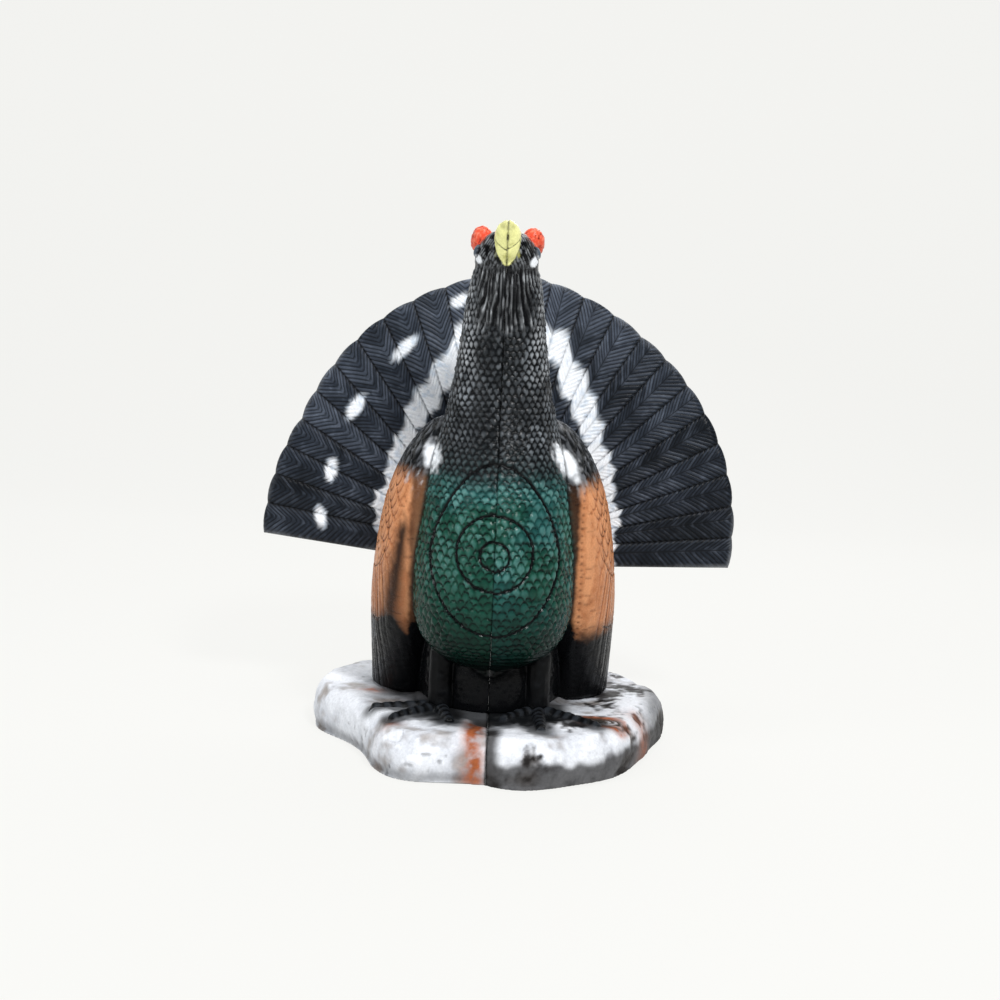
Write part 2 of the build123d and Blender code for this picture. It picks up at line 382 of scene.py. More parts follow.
def painted_material(name, grain=420.0, bump=0.30, depth=0.0006):
    """Sprayed foam: the colour is the mesh's own paint, painted highlights and shade included, broken up by
    fine grain.
    """
    material, tree, shader = shader_tree(name)
    link = tree.links.new
    paint = add_node(tree, "ShaderNodeAttribute", attribute_name="paint")
    gloss = add_node(tree, "ShaderNodeAttribute", attribute_name="gloss")
    place = add_node(tree, "ShaderNodeTexCoord")
    speck = add_node(tree, "ShaderNodeTexNoise", Scale=grain, Detail=5.0, Roughness=0.65)
    patch = add_node(tree, "ShaderNodeTexNoise", Scale=grain / 9, Detail=4.0, Roughness=0.6)
    pores = add_node(tree, "ShaderNodeTexVoronoi", Scale=grain * 1.6)
    for texture in (speck, patch, pores):
        link(place.outputs["Object"], texture.inputs["Vector"])
    tone = add_node(tree, "ShaderNodeMapRange")
    tone.inputs["To Min"].default_value = 0.72
    tone.inputs["To Max"].default_value = 1.28
    link(speck.outputs["Fac"], tone.inputs["Value"])
    broad = add_node(tree, "ShaderNodeMapRange")
    broad.inputs["To Min"].default_value = 0.80
    broad.inputs["To Max"].default_value = 1.20
    link(patch.outputs["Fac"], broad.inputs["Value"])
    both = add_node(tree, "ShaderNodeMath", operation="MULTIPLY")
    link(tone.outputs["Result"], both.inputs[0])
    link(broad.outputs["Result"], both.inputs[1])
    colour = add_node(tree, "ShaderNodeVectorMath", operation="SCALE")
    link(paint.outputs["Color"], colour.inputs[0])
    link(both.outputs[0], colour.inputs["Scale"])
    link(colour.outputs[0], shader.inputs["Base Color"])
    rough = add_node(tree, "ShaderNodeMath", operation="MULTIPLY_ADD")
    link(speck.outputs["Fac"], rough.inputs[0])
    rough.inputs[1].default_value = 0.12
    link(gloss.outputs["Fac"], rough.inputs[2])
    link(rough.outputs[0], shader.inputs["Roughness"])
    height = add_node(tree, "ShaderNodeMath", operation="MULTIPLY_ADD")
    link(pores.outputs["Distance"], height.inputs[0])
    height.inputs[1].default_value = 0.35
    link(speck.outputs["Fac"], height.inputs[2])
    relief = add_node(tree, "ShaderNodeBump", Strength=bump, Distance=depth)
    link(height.outputs[0], relief.inputs["Height"])
    link(relief.outputs["Normal"], shader.inputs["Normal"])
    shader.inputs["Specular IOR Level"].default_value = PAINT_SPECULAR
    return material


def streaked_material(name, dark, light, stretch, rough, bump, wavy=False):
    """Wood, plastic or pultruded rod: fine streaks along one direction between two colours."""
    material, tree, shader = shader_tree(name)
    link = tree.links.new
    place = add_node(tree, "ShaderNodeTexCoord")
    mapping = add_node(tree, "ShaderNodeMapping")
    mapping.inputs["Scale"].default_value = stretch
    link(place.outputs["Object"], mapping.inputs["Vector"])
    grain = add_node(tree, "ShaderNodeTexNoise", Scale=60.0, Detail=6.0, Roughness=0.6, Distortion=0.4)
    link(mapping.outputs["Vector"], grain.inputs["Vector"])
    factor = grain.outputs["Fac"]
    if wavy:
        rings = add_node(tree, "ShaderNodeTexWave", Scale=14.0, Distortion=5.0, Detail=3.0)
        link(mapping.outputs["Vector"], rings.inputs["Vector"])
        blend = add_node(tree, "ShaderNodeMath", operation="MULTIPLY")
        link(rings.outputs["Fac"], blend.inputs[0])
        link(grain.outputs["Fac"], blend.inputs[1])
        factor = blend.outputs[0]
    ramp = add_node(tree, "ShaderNodeValToRGB")
    ramp.color_ramp.elements[0].color = (*dark, 1)
    ramp.color_ramp.elements[1].color = (*light, 1)
    ramp.color_ramp.elements[0].position = 0.25
    ramp.color_ramp.elements[1].position = 0.75
    link(factor, ramp.inputs["Fac"])
    link(ramp.outputs["Color"], shader.inputs["Base Color"])
    uneven = add_node(tree, "ShaderNodeMapRange")
    uneven.inputs["To Min"].default_value = rough - 0.08
    uneven.inputs["To Max"].default_value = rough + 0.10
    link(grain.outputs["Fac"], uneven.inputs["Value"])
    link(uneven.outputs["Result"], shader.inputs["Roughness"])
    relief = add_node(tree, "ShaderNodeBump", Strength=bump, Distance=0.0004)
    link(factor, relief.inputs["Height"])
    link(relief.outputs["Normal"], shader.inputs["Normal"])
    return material


# ---- body halves ----

BODY_VOXEL = 1.75
BODY_TRIANGLES = 194000
COVERT_PITCH = 17.0
COVERT_ROW = 15.0
QUILL_PITCH = 17.0
QUILL_SHAFT = 0.38
TAIL_PITCH = 21.0

# Arc length down the front of the body, and the scales' pitch at each height.
PROFILE = np.array([(row[0], row[1]) for row in TORSO], float)
PROFILE_WAY = np.concatenate([[0], np.cumsum(np.hypot(np.diff(PROFILE[:, 0]), np.diff(PROFILE[:, 1])))])
WAY_MARKS = np.linspace(0, PROFILE_WAY[-1], 600)
HEIGHT_MARKS = np.interp(WAY_MARKS, PROFILE_WAY, PROFILE[:, 0])
ROW_PITCH_AT = ([0, 95, 120, 250, 290, 335, 480, 578], [6.0, 7.5, 9.6, 9.6, 8.0, 7.6, 8.0, 7.5])
COLUMN_PITCH_AT = ([0, 95, 120, 250, 290, 335, 480, 578], [10.5, 11.5, 12.6, 12.6, 11.0, 9.4, 8.4, 8.0])
ROW_MARKS = np.concatenate(
    [[0], np.cumsum(np.diff(WAY_MARKS) / np.interp(HEIGHT_MARKS[1:], *ROW_PITCH_AT))]
)


def row_of_height(height):
    return np.interp(height, HEIGHT_MARKS, ROW_MARKS)


def torso_pitch(row):
    return np.interp(np.interp(row, ROW_MARKS, HEIGHT_MARKS), *COLUMN_PITCH_AT)


def ring_lines(across, up):
    """How near a point is to one of the target's rings, in millimetres, seen square on."""
    reach = np.hypot(across, up)
    inner = np.abs(reach - 17.8)
    middle = np.abs(np.hypot(across, up - 2.5) - 47.2)
    nearest = np.minimum(inner, middle)
    turns = np.linspace(-math.pi / 2, math.pi / 2, 73)
    egg = [
        (81 * math.cos(t) * (1 - 0.20 * max(math.sin(t), 0)), (111 if t > 0 else 101)
            * math.sin(t)) for t in turns
    ]
    for (x0, y0), (x1, y1) in zip(egg, egg[1:]):
        dx, dy = x1 - x0, y1 - y0
        share = np.clip(((np.abs(across) - x0) * dx + (up - y0) * dy) / (dx * dx + dy * dy), 0, 1)
        nearest = np.minimum(nearest, np.hypot(np.abs(across) - x0 - share * dx, up - y0 - share * dy))
    return nearest


def side_ring_lines(along, up):
    reach = np.hypot(along, up)
    oval = np.hypot(along / 88, up / 122)
    return np.minimum(np.minimum(np.abs(reach - 21.5), np.abs(reach - 52)), np.abs(oval - 1) * 98)


def cap_distance(x, forward, up):
    """How far a point stands off the skull, and off a brow."""
    skull = (np.sqrt((x / HEAD_RADII[0]) ** 2 + (forward / HEAD_RADII[1]) ** 2
        + (up / HEAD_RADII[2]) ** 2) - 1) * 38
    brow = (
        np.sqrt(
            ((np.abs(x) - BROW_AT[0]) / BROW_RADII[1]) ** 2
            + ((forward - BROW_AT[1]) / BROW_RADII[0]) ** 2
            + ((up - BROW_AT[2]) / BROW_RADII[2]) ** 2
        )
        - 1
    ) * 12
    return skull, brow


def beak_distance(x, forward, up):
    """How far a point stands off the beak."""
    share = (forward - BEAK_ROOT) / BEAK_LONG
    _, wide, deep = hermite(BEAK, share)
    rise = up - BEAK_UP + np.clip(share, 0, 1) ** 2 * BEAK_HOOK
    return (np.hypot(x / wide, rise / deep) - 1) * wide + np.maximum(-share, 0) * BEAK_LONG * 3


def body_skin(x, y, z, side, seed):
    """Relief in millimetres, paint and gloss, for points on one body half."""
    across = side * x
    height = z - BASE_TOP
    place = columns(x, y, z)
    fine = fbm(place, 7, 3, seed)
    broad = fbm(place, 60, 3, seed + 11)

    torso_off, _, torso_along = egg_coordinates(across, y, height, TORSO)
    rump_off, _, rump_along = egg_coordinates(across, y, height, RUMP)
    wing_off, wing_round, wing_dy, wing_wide, wing_long = wing_coordinates(across, y, height)
    hx, forward, up = head_coordinates(x, y, z)
    skull_off, brow_off = cap_distance(hx, forward, up)
    beak_off = beak_distance(hx, forward, up)
    leg_off = np.hypot(across - LEG_OUT, y - LEG_FORWARD) - LEG_RADIUS + np.maximum(height - LEG_TOP, 0) * 3
    offs = np.stack([torso_off, rump_off, wing_off, np.minimum(skull_off, brow_off), beak_off, leg_off])
    nearest = offs.min(0)
    skin = np.maximum(smooth(-4.5, -2.0, nearest), smooth(1.5, 4, np.abs(x)) * (y < 0) * smooth(1, 3, height))
    weights = np.exp(-np.clip(offs - nearest, 0, 60) / 1.6)
    weights /= weights.sum(0)
    on_torso, on_rump, on_wing, on_skull, on_beak, on_leg = weights

    # Torso and neck: rows of scales, throat hackles and the front's target rings.
    sway = 2.6 * noise(place, 27, seed + 3) + 0.9 * noise(place, 9, seed + 31)
    rows = row_of_height(height + 2.4 * noise(place, 24, seed + 4) + 1.0 * noise(place, 8, seed + 32))
    dome, groove, tint = scales(torso_along + sway, rows, torso_pitch, 0.95, seed, 0.34)
    bead = 0.45 + 1.0 * tint
    faint = smooth(-0.35, 0.25, noise(place, 16, seed + 34))
    chest = smooth(318, 292, height) * smooth(70, 96, height)
    neck = smooth(300, 340, height)
    relief_torso = dome * bead * (1.60 - 0.10 * neck) - groove * (1.25 + 0.45 * neck) * (0.35 + 0.65
        * faint) - 0.4
    waves = smooth(0.86, 0.99, np.sin(height / 17 * 2 * math.pi + 2.5 * noise(place, 30, seed + 36)))
    waves = waves * smooth(0.0, 0.5, noise(columns(x * 0.5, y, z * 1.5), 15, seed + 37)) * smooth(20,
        40, np.abs(x))
    relief_torso = relief_torso - 1.1 * waves * chest
    ripple = np.sin(height / 5.2 * 2 * math.pi + 2 * noise(place, 18, seed + 5))
    low = smooth(100, 70, height)
    relief_torso = relief_torso * (1 - low) + low * (0.55 * ripple - 0.3)
    throat = smooth(470, 505, height + 6 * fine) * smooth(46, 28, np.abs(x)) * smooth(-20, -60, y)
    spread = x * (1 + 0.0065 * np.clip(z - 590, -60, 45))
    hackle_way = spread + 3.4 * noise(columns(x, z * 0.14, 0), 8, seed + 6) + 1.1 * noise(place, 13, seed + 8)
    hackle = np.abs(np.sin(hackle_way / 5.4 * math.pi))
    split = np.abs(np.sin(hackle_way / 2.3 * math.pi + 1.5 * noise(columns(x, y, z * 0.4), 6, seed + 7)))
    strand = smooth(-0.5, 0.4, noise(columns(x * 1.2, y, z * 0.35), 7, seed + 9))
    relief_throat = 2.6 * (0.35 + 0.65 * strand) * hackle**1.5 + 0.5 * split - 2.0
    relief_torso = relief_torso * (1 - throat) + relief_throat * throat
    under_chin = smooth(636, 618, z + 5 * fine) * smooth(46, 34, np.abs(x)) * smooth(-45, -65, y)

    front_up = z - 272 + 1.4 * (side > 0)
    ring = ring_lines(x - 0.7 * side, front_up)
    facing = smooth(-20, -60, y)
    ring_cut = bell(ring, 1.75) * facing * (1 - on_skull)
    side_ring = side_ring_lines(y - 18, z - 280)
    from_front = smooth(-0.95, -0.55, wing_dy / wing_long)
    side_cut = bell(side_ring, 1.1) * smooth(60, 85, across) * np.maximum(from_front, smooth(350, 385, z))

    # Wing: coverts above, long flight feathers below.
    wing_way = wing_round * np.sqrt((wing_wide**2 + wing_long**2) / 2)
    wing_rows = -height / COVERT_ROW - wing_way * 0.05
    wing_dome, wing_groove, _ = scales(wing_way, wing_rows, lambda row: COVERT_PITCH, 1.3, seed + 40, 0.3)
    quill_way = wing_way * 0.92 - height * 0.30 + 3 * noise(place, 50, seed + 41)
    quill = np.floor(quill_way / QUILL_PITCH)
    quill_part = quill_way / QUILL_PITCH - quill
    quill_tint = hashed(quill + 90, 3, 5, seed)
    quill_edge = np.minimum(quill_part, 1 - quill_part) * QUILL_PITCH
    quill_shaft = np.abs(quill_part - QUILL_SHAFT) * QUILL_PITCH
    barb_way = height + quill_shaft * 1.5
    barb = np.abs(np.sin(barb_way / 4.6 * math.pi + 1.2 * fine))
    relief_quill = 0.9 * smooth(0, 9, quill_edge) - 1.3 * bell(quill_edge, 0.9) - 0.7 * bell(quill_shaft, 0.8)
    relief_quill = relief_quill + 0.35 * (smooth(0.1, 0.6, barb) - 0.7)
    covert = smooth(150, 205, height + 10 * broad)
    relief_covert = 0.8 * wing_dome - 1.15 * wing_groove
    dots = bell(np.mod(height / 9.0, 1) - 0.5, 0.16) * bell(across - 111 - 2 * broad, 1.8) * (side > 0)
    dashes = bell(np.mod(height / 12.0 + hashed(np.floor(across / 9), 1, 1, seed), 1) - 0.5, 0.10)
    dashes = dashes * smooth(0.1, 0.5, noise(place, 11, seed + 43))
    relief_front = 0.5 * fine + 0.7 * broad - 1.3 * dots - 0.5 * dashes
    relief_feathers = relief_covert * covert + relief_quill * (1 - covert)
    relief_wing = relief_feathers * (0.18 + 0.82 * from_front) + relief_front * (1 - from_front)

    # Rump and pedestal: long under-tail feathers.
    tail_rows = height / 24.0 + 0.02 * np.abs(rump_along)
    rump_dome, rump_groove, rump_tint = scales(
        rump_along + 2 * noise(place, 40, seed + 50), -tail_rows, lambda row: TAIL_PITCH, 1.3, seed + 51, 0.3
    )
    behind = smooth(60, 100, y)
    relief_rump = (1.0 * rump_dome - 1.3 * rump_groove) * behind + (1 - behind) * 0.8 * fine
    relief_leg = 0.7 * noise(columns(x, y, z * 0.2), 5, seed + 53) + 0.5 * fine

    # Head: short hair-like feathers, an eye on each side, pebbled brow and a parted beak.
    side_x = np.abs(x)
    hair_way = side_x * 0.77 + z * 0.50 + y * 0.35 + 1.8 * noise(place, 9, seed + 60)
    hair = np.abs(np.sin(hair_way / 3.8 * math.pi)) * (0.35 + 0.65
        * smooth(-0.5, 0.3, noise(place, 5, seed + 61)))
    relief_skull = 1.2 * (hair - 0.5) * (1 - under_chin) + relief_throat * under_chin
    eye_reach = np.hypot(forward - 17.0, up - 4.0) * 1.15
    eye = smooth(9.0, 6.8, eye_reach) * smooth(24, 30, side_x)
    eye_round = np.sqrt(np.clip(1 - (eye_reach / 9.5) ** 2, 0, 1))
    lid = bell(eye_reach - 9.6, 1.1) * smooth(22, 28, side_x)
    relief_skull = relief_skull * (1 - eye) + 4.6 * eye_round * smooth(11, 8.5, eye_reach) * smooth(24,
        30, side_x)
    relief_skull = relief_skull - 0.9 * lid
    comb_reach = np.hypot((side_x - 32.5) / 14.0, (z - 661) / 15.5) + 0.05 * fine
    comb = smooth(1.04, 0.94, comb_reach) * smooth(8, 13, up) * smooth(-16, -8, forward) * smooth(34,
        28, forward)
    brow = np.maximum(smooth(2.6, 1.4, brow_off) * smooth(12, 18, side_x), comb)
    pebble = noise(place, 2.0, seed + 62)
    relief_skull = relief_skull * (1 - brow) + brow * (1.6 + 0.9 * pebble)
    gape_side = np.abs((up + 13.5) - (51 - forward) * 0.35) + 40 * (forward < 33) + 40 * (forward > 62)
    gape_front = np.abs(forward - (55.5 + 1.0 * side + 8.0 * side_x / 17 + 1.5 * fine))
    gape_front = gape_front + 40 * (up > -10)
    gape = np.minimum(gape_side, gape_front)
    gape_cut = bell(gape, 0.8) * smooth(33, 40, forward)
    slot = bell(x, 1.3) * smooth(68, 71, forward) * smooth(80, 77, forward)
    lens = np.interp(forward, [27, 31, 36, 41, 47, 53, 56],
        [0, 5, 9.5, 12.5, 14.5, 18, 30]) - side_x + 0.8 * fine
    lens = np.where(up > 2, 8 * (forward - 46), lens)
    in_lens = smooth(-0.5, 0.5, lens)
    relief_beak = 0.45 * fbm(columns(x, y * 0.5, z * 0.5), 4, 2, seed + 63) - 1.3 * gape_cut - 1.6 * slot
    relief_beak = relief_beak * in_lens + (relief_skull - 1.0) * (1 - in_lens)
    relief_skull = relief_skull * (1 - in_lens) + (relief_beak + 1.2) * in_lens

    relief = (
        on_torso * relief_torso + on_rump * relief_rump + on_wing * relief_wing
        + on_skull * relief_skull + on_beak * relief_beak + on_leg * relief_leg
    )
    relief = relief + 0.25 * fine
    relief = relief - 2.6 * ring_cut - 1.6 * side_cut
    seam = bell(x, 0.9)
    relief = relief - (0.9 + 0.5 * neck) * seam
    crease = smooth(3.2, 0.4, np.partition(offs, 1, axis=0)[1] - nearest) * smooth(600, 560, z)
    relief = relief - 0.8 * crease

    # Paint: torso.
    # Painted highlight on the scale domes, and painted shade in their grooves and in the chest's wave
    # grooves.
    shade = np.clip(0.46 + 0.42 * dome * bead - 0.85 * groove * (0.25 + 0.75 * faint) + 0.14
        * (tint - 0.5) + 0.12 * fine, 0, 1)
    cool = smooth(-0.35, 0.5, broad + 0.9 * smooth(240, 320, height) + 0.16 * side - 0.25)
    green = mix(GREEN, TEAL, cool)
    # Painted highlight: lighter teal on the domes of the middle chest.
    dome_highlight = smooth(0.45, 1.0, dome * bead) * smooth(110, 220, height) * (0.45 + 0.4 * cool)
    green = mix(green, TEAL_LIGHT, np.clip(dome_highlight
        * (0.4 + 0.6 * smooth(-0.3, 0.5, noise(place, 30, seed + 35))), 0, 1))
    green = mix(GREEN_DEEP, green, smooth(0.12, 0.80, shade))
    green = mix(green, GREEN_DEEP, 0.6 * waves)
    green = green * (0.26 + 0.74 * smooth(70, 190, height + 8 * broad))[:, None]
    # Painted highlights on the neck: pale grey on the bump tops, stronger towards the sides, brighter painted
    # glints there, and painted shade in the grooves.
    neck_highlight = np.clip(smooth(0.45, 0.95, dome + 0.25 * fine) * (0.45 + 0.75 * smooth(16, 46, side_x)), 0, 1)
    neck_highlight = neck_highlight * (0.35 + 0.65 * smooth(-0.5, 0.4, noise(place, 22, seed + 33))) * (0.5 + 0.8 * tint)
    dark = mix(NECK_DARK, NECK_LIGHT, 0.80 * neck_highlight)
    glint = smooth(26, 46, side_x) * smooth(0.45, 0.9, dome) * smooth(-0.4, 0.4, noise(place, 11, seed + 38))
    dark = mix(dark, linear(196, 200, 205), 0.55 * glint * smooth(380, 460, height))
    dark = mix(dark, BLACK, 0.8 * smooth(0.3, 0.9, groove))
    # Painted highlight: thin pale grey lines along the throat hackles' ridges.
    hackle_tone = smooth(0.55, 1.0, hackle + 0.12 * fine) * (0.25 + 0.75
        * smooth(0.4, 1.0, split)) * (0.25 + 0.75 * smooth(-0.3, 0.5, noise(place, 9, seed + 64)))
    hackle_tone = hackle_tone * (0.35 + 0.65 * smooth(0.2, 0.9, strand)) * smooth(450, 495, height)
    dark = mix(dark, mix(BLACK, linear(178, 182, 186), hackle_tone), throat)
    green_share = smooth(316, 284, height + 12 * broad + 6 * fine) * smooth(112, 98, across + 6 * broad
        + 3 * fine)
    green_share = green_share * smooth(20, -10, y)
    # Painted highlight: the black flanks lighten on the scale domes.
    flank = mix(SOOT, linear(58, 62, 66), 0.6 * smooth(0.5, 1.0, dome))
    torso_paint = mix(mix(flank, dark, smooth(300, 350, height)), green, green_share)
    # Painted sheen: pale teal on the dome tops in a band across the upper chest.
    dome_sheen = bell(height - 305, 24) * facing * 0.30
    torso_paint = mix(torso_paint, linear(58, 92, 92), dome_sheen * smooth(0.3, 1, dome))
    torso_paint = mix(torso_paint, BLACK, 0.75 * smooth(88, 62, height))

    # Paint: wing.
    wisp = noise(columns(across * 0.5 + z * 0.4, y, z * 0.5 - across * 0.3), 5, seed + 45)
    # Painted highlight on the covert domes and painted shade in the grooves round coverts and quills, carried
    # into the orange.
    wing_shade = np.clip(0.62 + 0.38 * wing_dome - 0.75 * wing_groove, 0, 1)
    quill_shade = np.clip(0.75 - 0.8 * bell(quill_edge, 1.0) - 0.4 * bell(quill_shaft, 0.8) + 0.2
        * (quill_tint - 0.5), 0, 1)
    feather_shade = wing_shade * covert + quill_shade * (1 - covert)
    feather_shade = feather_shade * from_front + (0.78 + 0.2 * fine) * (1 - from_front)
    streak = smooth(0.05, 0.6, noise(columns(across * 0.9, y * 0.9, z * 0.18), 9, seed + 42))
    orange = mix(BROWN, BROWN_LIGHT, smooth(0.5, 1.0, feather_shade + 0.25 * streak))
    orange = mix(orange, linear(120, 72, 48), 0.45 * smooth(-60, 90, wing_dy) * smooth(0.1, 0.9, streak))
    orange = mix(linear(52, 32, 24), orange, smooth(0.1, 0.65, feather_shade))
    lower = smooth(120, 80, height + 9 * broad + 5 * fine - 0.05 * (wing_dy + 60))
    upper = smooth(284, 314, height + 10 * broad + 4 * fine)
    gap_at = 111 if side > 0 else 113
    inward = smooth(gap_at, gap_at - 8, across + 3 * fine + 3 * broad) * smooth(60, -20, wing_dy)
    orange = mix(orange, linear(70, 40, 26), 0.75 * np.clip(dots + 0.6 * dashes, 0, 1) * (1 - from_front))
    ragged = across - (116 + 0.137 * (306 - z)) + 3 * fine
    wedge = bell(ragged, 6 + 0.09 * np.clip(306 - z, 0, 200)) * smooth(318, 285, z + 8 * fine) * (side < 0)
    wing_paint = mix(orange, BLACK, np.clip(lower + (0.92 if side > 0 else 0.72) * inward + 0.95 * wedge
        * (1 - 0.25 * from_front), 0, 1))
    # Painted highlight: white glare streaks across the wing's front at shoulder height.
    shoulder_glare = smooth(0.25, 0.6, noise(columns(across * 1.3 + height * 0.5, y * 0.6, z * 0.6), 6, seed + 44))
    wing_paint = mix(wing_paint, WHITE, 0.75 * shoulder_glare * bell(height - 306, 16) * smooth(40, 0, wing_dy))
    wing_paint = mix(wing_paint, SOOT, upper)
    # Painted highlight: grey on the covert tops and in wisps at the front of the upper wing.
    grey_highlight = (0.6 * smooth(0.55, 1, wing_dome) + 0.9 * smooth(0.35, 0.75, wisp)
        * smooth(60, 0, wing_dy)) * upper
    wing_paint = mix(wing_paint, linear(122, 126, 132), 0.62 * np.clip(grey_highlight, 0, 1))
    # Painted rim light: pale grey streaks low on the wing's outer edge.
    rim_light = smooth(150, 160, across + 3 * fine) * smooth(190, 60, height) * smooth(0.1, 0.9,
        streak) * (0.5 + 0.5 * fine)
    wing_paint = mix(wing_paint, linear(150, 154, 162), 0.6 * np.clip(rim_light, 0, 1))

    # White shoulder patches, brushed on over torso and wing.
    if side > 0:
        down = (across - 75) * 0.56 - (z - 395) * 0.83
        aside = (across - 75) * 0.83 + (z - 395) * 0.56
        shoulder = np.hypot((down - 18) / 26, (aside - 2) / 10)
    else:
        shoulder = np.hypot((across - 84) / 11, (z - 385) / 17)
    shoulder = smooth(1.40, 0.60, shoulder + 0.30 * fine + 0.30 * wisp) * smooth(40, 5, y)
    torso_paint = mix(torso_paint, WHITE, 0.96 * shoulder)
    wing_paint = mix(wing_paint, WHITE, 0.96 * shoulder)

    # Paint: rump, legs and pedestal.
    tips = smooth(0.35, 0.8, rump_dome) * smooth(0.35, 0.7, rump_tint) * behind
    # Painted highlight: the black under-tail feathers lighten on their domes; the white tips are the
    # feathers' own.
    rump_paint = mix(BLACK, linear(44, 46, 50), 0.5 * smooth(0.3, 1, rump_dome) * behind)
    rump_paint = mix(rump_paint, WHITE, 0.85 * tips * smooth(20, 60, height))
    leg_paint = mix(BLACK, linear(26, 28, 31), 0.5 * smooth(0.0, 0.8, fine))

    # Paint: head.
    skull_paint = mix(BLACK, linear(138, 142, 146), 0.8 * smooth(0.35, 0.95, hair + 0.25 * fine))
    cheek_reach = np.hypot((forward - 16.5) / 6.5, (up + 9.5 + 0.5 * (forward - 16.5))
        / 7.5) / (1.25 if side > 0 else 1)
    cheek = smooth(1.15, 0.75, cheek_reach + 0.15 * fine) * smooth(22, 30, side_x)
    # The chin's hackles get the same painted highlight on their ridges.
    chin_paint = mix(BLACK, linear(150, 154, 158), hackle_tone)
    skull_paint = mix(skull_paint, chin_paint, under_chin)
    skull_paint = mix(skull_paint, WHITE, cheek)
    skull_paint = mix(skull_paint, EYE_GREY, eye)
    skull_paint = mix(skull_paint, BLACK, np.clip(lid * 0.9 + 0.9 * smooth(3.4, 2.6, eye_reach) * eye, 0, 1))
    overspray = smooth(0.15, 0.7, noise(columns(x * 1.4, y * 0.5, z * 0.5), 5, seed + 65)) * smooth(30,
        38, forward)
    skull_paint = mix(skull_paint, BEAK_SHADE, 0.55 * overspray * smooth(26, 16, side_x)
        * (0.35 + 0.65 * (side > 0)))
    red = mix(BROW_RED, linear(120, 32, 26), smooth(0.25, 0.75, -pebble))
    # Painted highlight: lighter on the pebbles' tops.
    red = mix(red, linear(246, 150, 122), 0.6 * smooth(0.1, 0.7, pebble))
    skull_paint = mix(skull_paint, red, brow)
    yellow = mix(BEAK_SHADE, BEAK_YELLOW, smooth(-0.5, 0.2, fine + 0.4 * broad + 0.2))
    yellow = mix(yellow, linear(170, 168, 120), 0.6 * smooth(82, 88, forward))
    yellow = mix(yellow, linear(34, 33, 20), np.clip(1.0 * gape_cut + slot, 0, 1))
    yellow = mix(yellow, BEAK_SHADE * 0.55, 0.5 * bell(lens, 1.6) * (forward < 60))
    head_paint = mix(skull_paint, yellow, in_lens)

    paint = (
        on_torso[:, None] * torso_paint + on_rump[:, None] * rump_paint + on_wing[:, None] * wing_paint
        + (on_skull + on_beak)[:, None] * head_paint + on_leg[:, None] * leg_paint
    )
    on_head = on_skull + on_beak
    paint = mix(paint, head_paint, smooth(0.25, 0.75, on_head))
    paint = mix(paint, BLACK, np.clip(smooth(0.12, 0.55, ring_cut) + 0.85 * smooth(0.25, 0.8, side_cut),
        0, 1))
    seam_mark = bell(x, 1.2) * (0.80 - 0.25 * on_beak - 0.35 * green_share * on_torso)
    paint = mix(paint, BLACK, seam_mark)
    # Painted shade: darker in the creases where the body's masses meet.
    paint = mix(paint, BLACK, 0.7 * crease)
    # Cut faces only show when the pieces are apart, and are bare foam.
    foam = mix(FOAM_DARK, FOAM_LIGHT, smooth(-0.5, 0.5, fine))
    paint = mix(foam, paint, skin)
    gloss = 0.20 + 0.10 * smooth(0, 1, broad) - 0.05 * green_share * on_torso - 0.10 * eye + 0.1 * on_leg
    gloss = gloss * skin + 0.75 * (1 - skin)
    return relief * skin, paint, gloss


def flat_normals(place, normals):
    """Outward directions, kept flat at the seam, the underside, the ledge and the fan's slot."""
    x, y, z = place.T
    normals = normals.copy()
    near_seam = smooth(3.0, 0.7, np.abs(x))
    normals[:, 0] *= 1 - near_seam
    near_floor = smooth(BASE_TOP + 3.0, BASE_TOP + 0.8, z)
    normals[:, 2] *= 1 - near_floor
    behind, up = fan_coordinates(y, z)
    across_slot = np.array([0, math.cos(FAN_TILT), -math.sin(FAN_TILT)])
    along_slot = np.array([0, math.sin(FAN_TILT), math.cos(FAN_TILT)])
    near_slot = smooth(3.0, 0.8, np.abs(behind + FAN_HALF + 0.5)) * (up > -1.5)
    normals -= (near_slot * (normals @ across_slot))[:, None] * across_slot
    near_ledge = smooth(3.0, 0.8, np.abs(up)) * (behind > -FAN_HALF - 2)
    normals -= (near_ledge * (normals @ along_slot))[:, None] * along_slot
    return normals


def build_body_half(node, side, seed, material):
    obj = dense_copy(node, node + "_painted", BODY_VOXEL)
    mesh = obj.data
    place = points_of(mesh) / MM
    normals = flat_normals(place, normals_of(mesh))
    relief, paint, gloss = body_skin(*place.T, side, seed)
    moved = place + normals * relief[:, None]
    moved[:, 0] = side * np.maximum(side * moved[:, 0], 0.02)
    set_points(mesh, moved * MM)
    put_attribute(mesh, "paint", paint)
    put_attribute(mesh, "gloss", gloss)
    thinned(obj, BODY_TRIANGLES)
    return finish_piece(obj, "body", "body_foam", material, node)


# ---- tail fan ----

FAN_TRIANGLES = 198000
FRONT_PITCH = 7.2
BACK_PITCH = 9.0
FEATHERS = 24
SPAN = 180.0
CANT = -2.0
SIDE_RADIUS = 333.0
EXTRA = [0.0, 19.0, 34.0, 60.0, 32.0, -1.0, -3.0]
ROOT_RISE = 20.0
FLAT_HALF = 65.0
TIP_DEPTH = 2.6
FOOT_REACH = math.hypot(FLAT_HALF, ROOT_RISE)
SHAFT = 0.60
WIDE_SLOPE = 1.10
NARROW_SLOPE = WIDE_SLOPE * SHAFT / (1 - SHAFT)
RIM_ROUND = 8.0
COLUMNS_IN_FEATHER = [0.0, 0.035, 0.09, 0.17, 0.26, 0.35, 0.44, 0.52, 0.575, 0.60, 0.625, 0.69, 0.78,
    0.87, 0.945, 0.975]


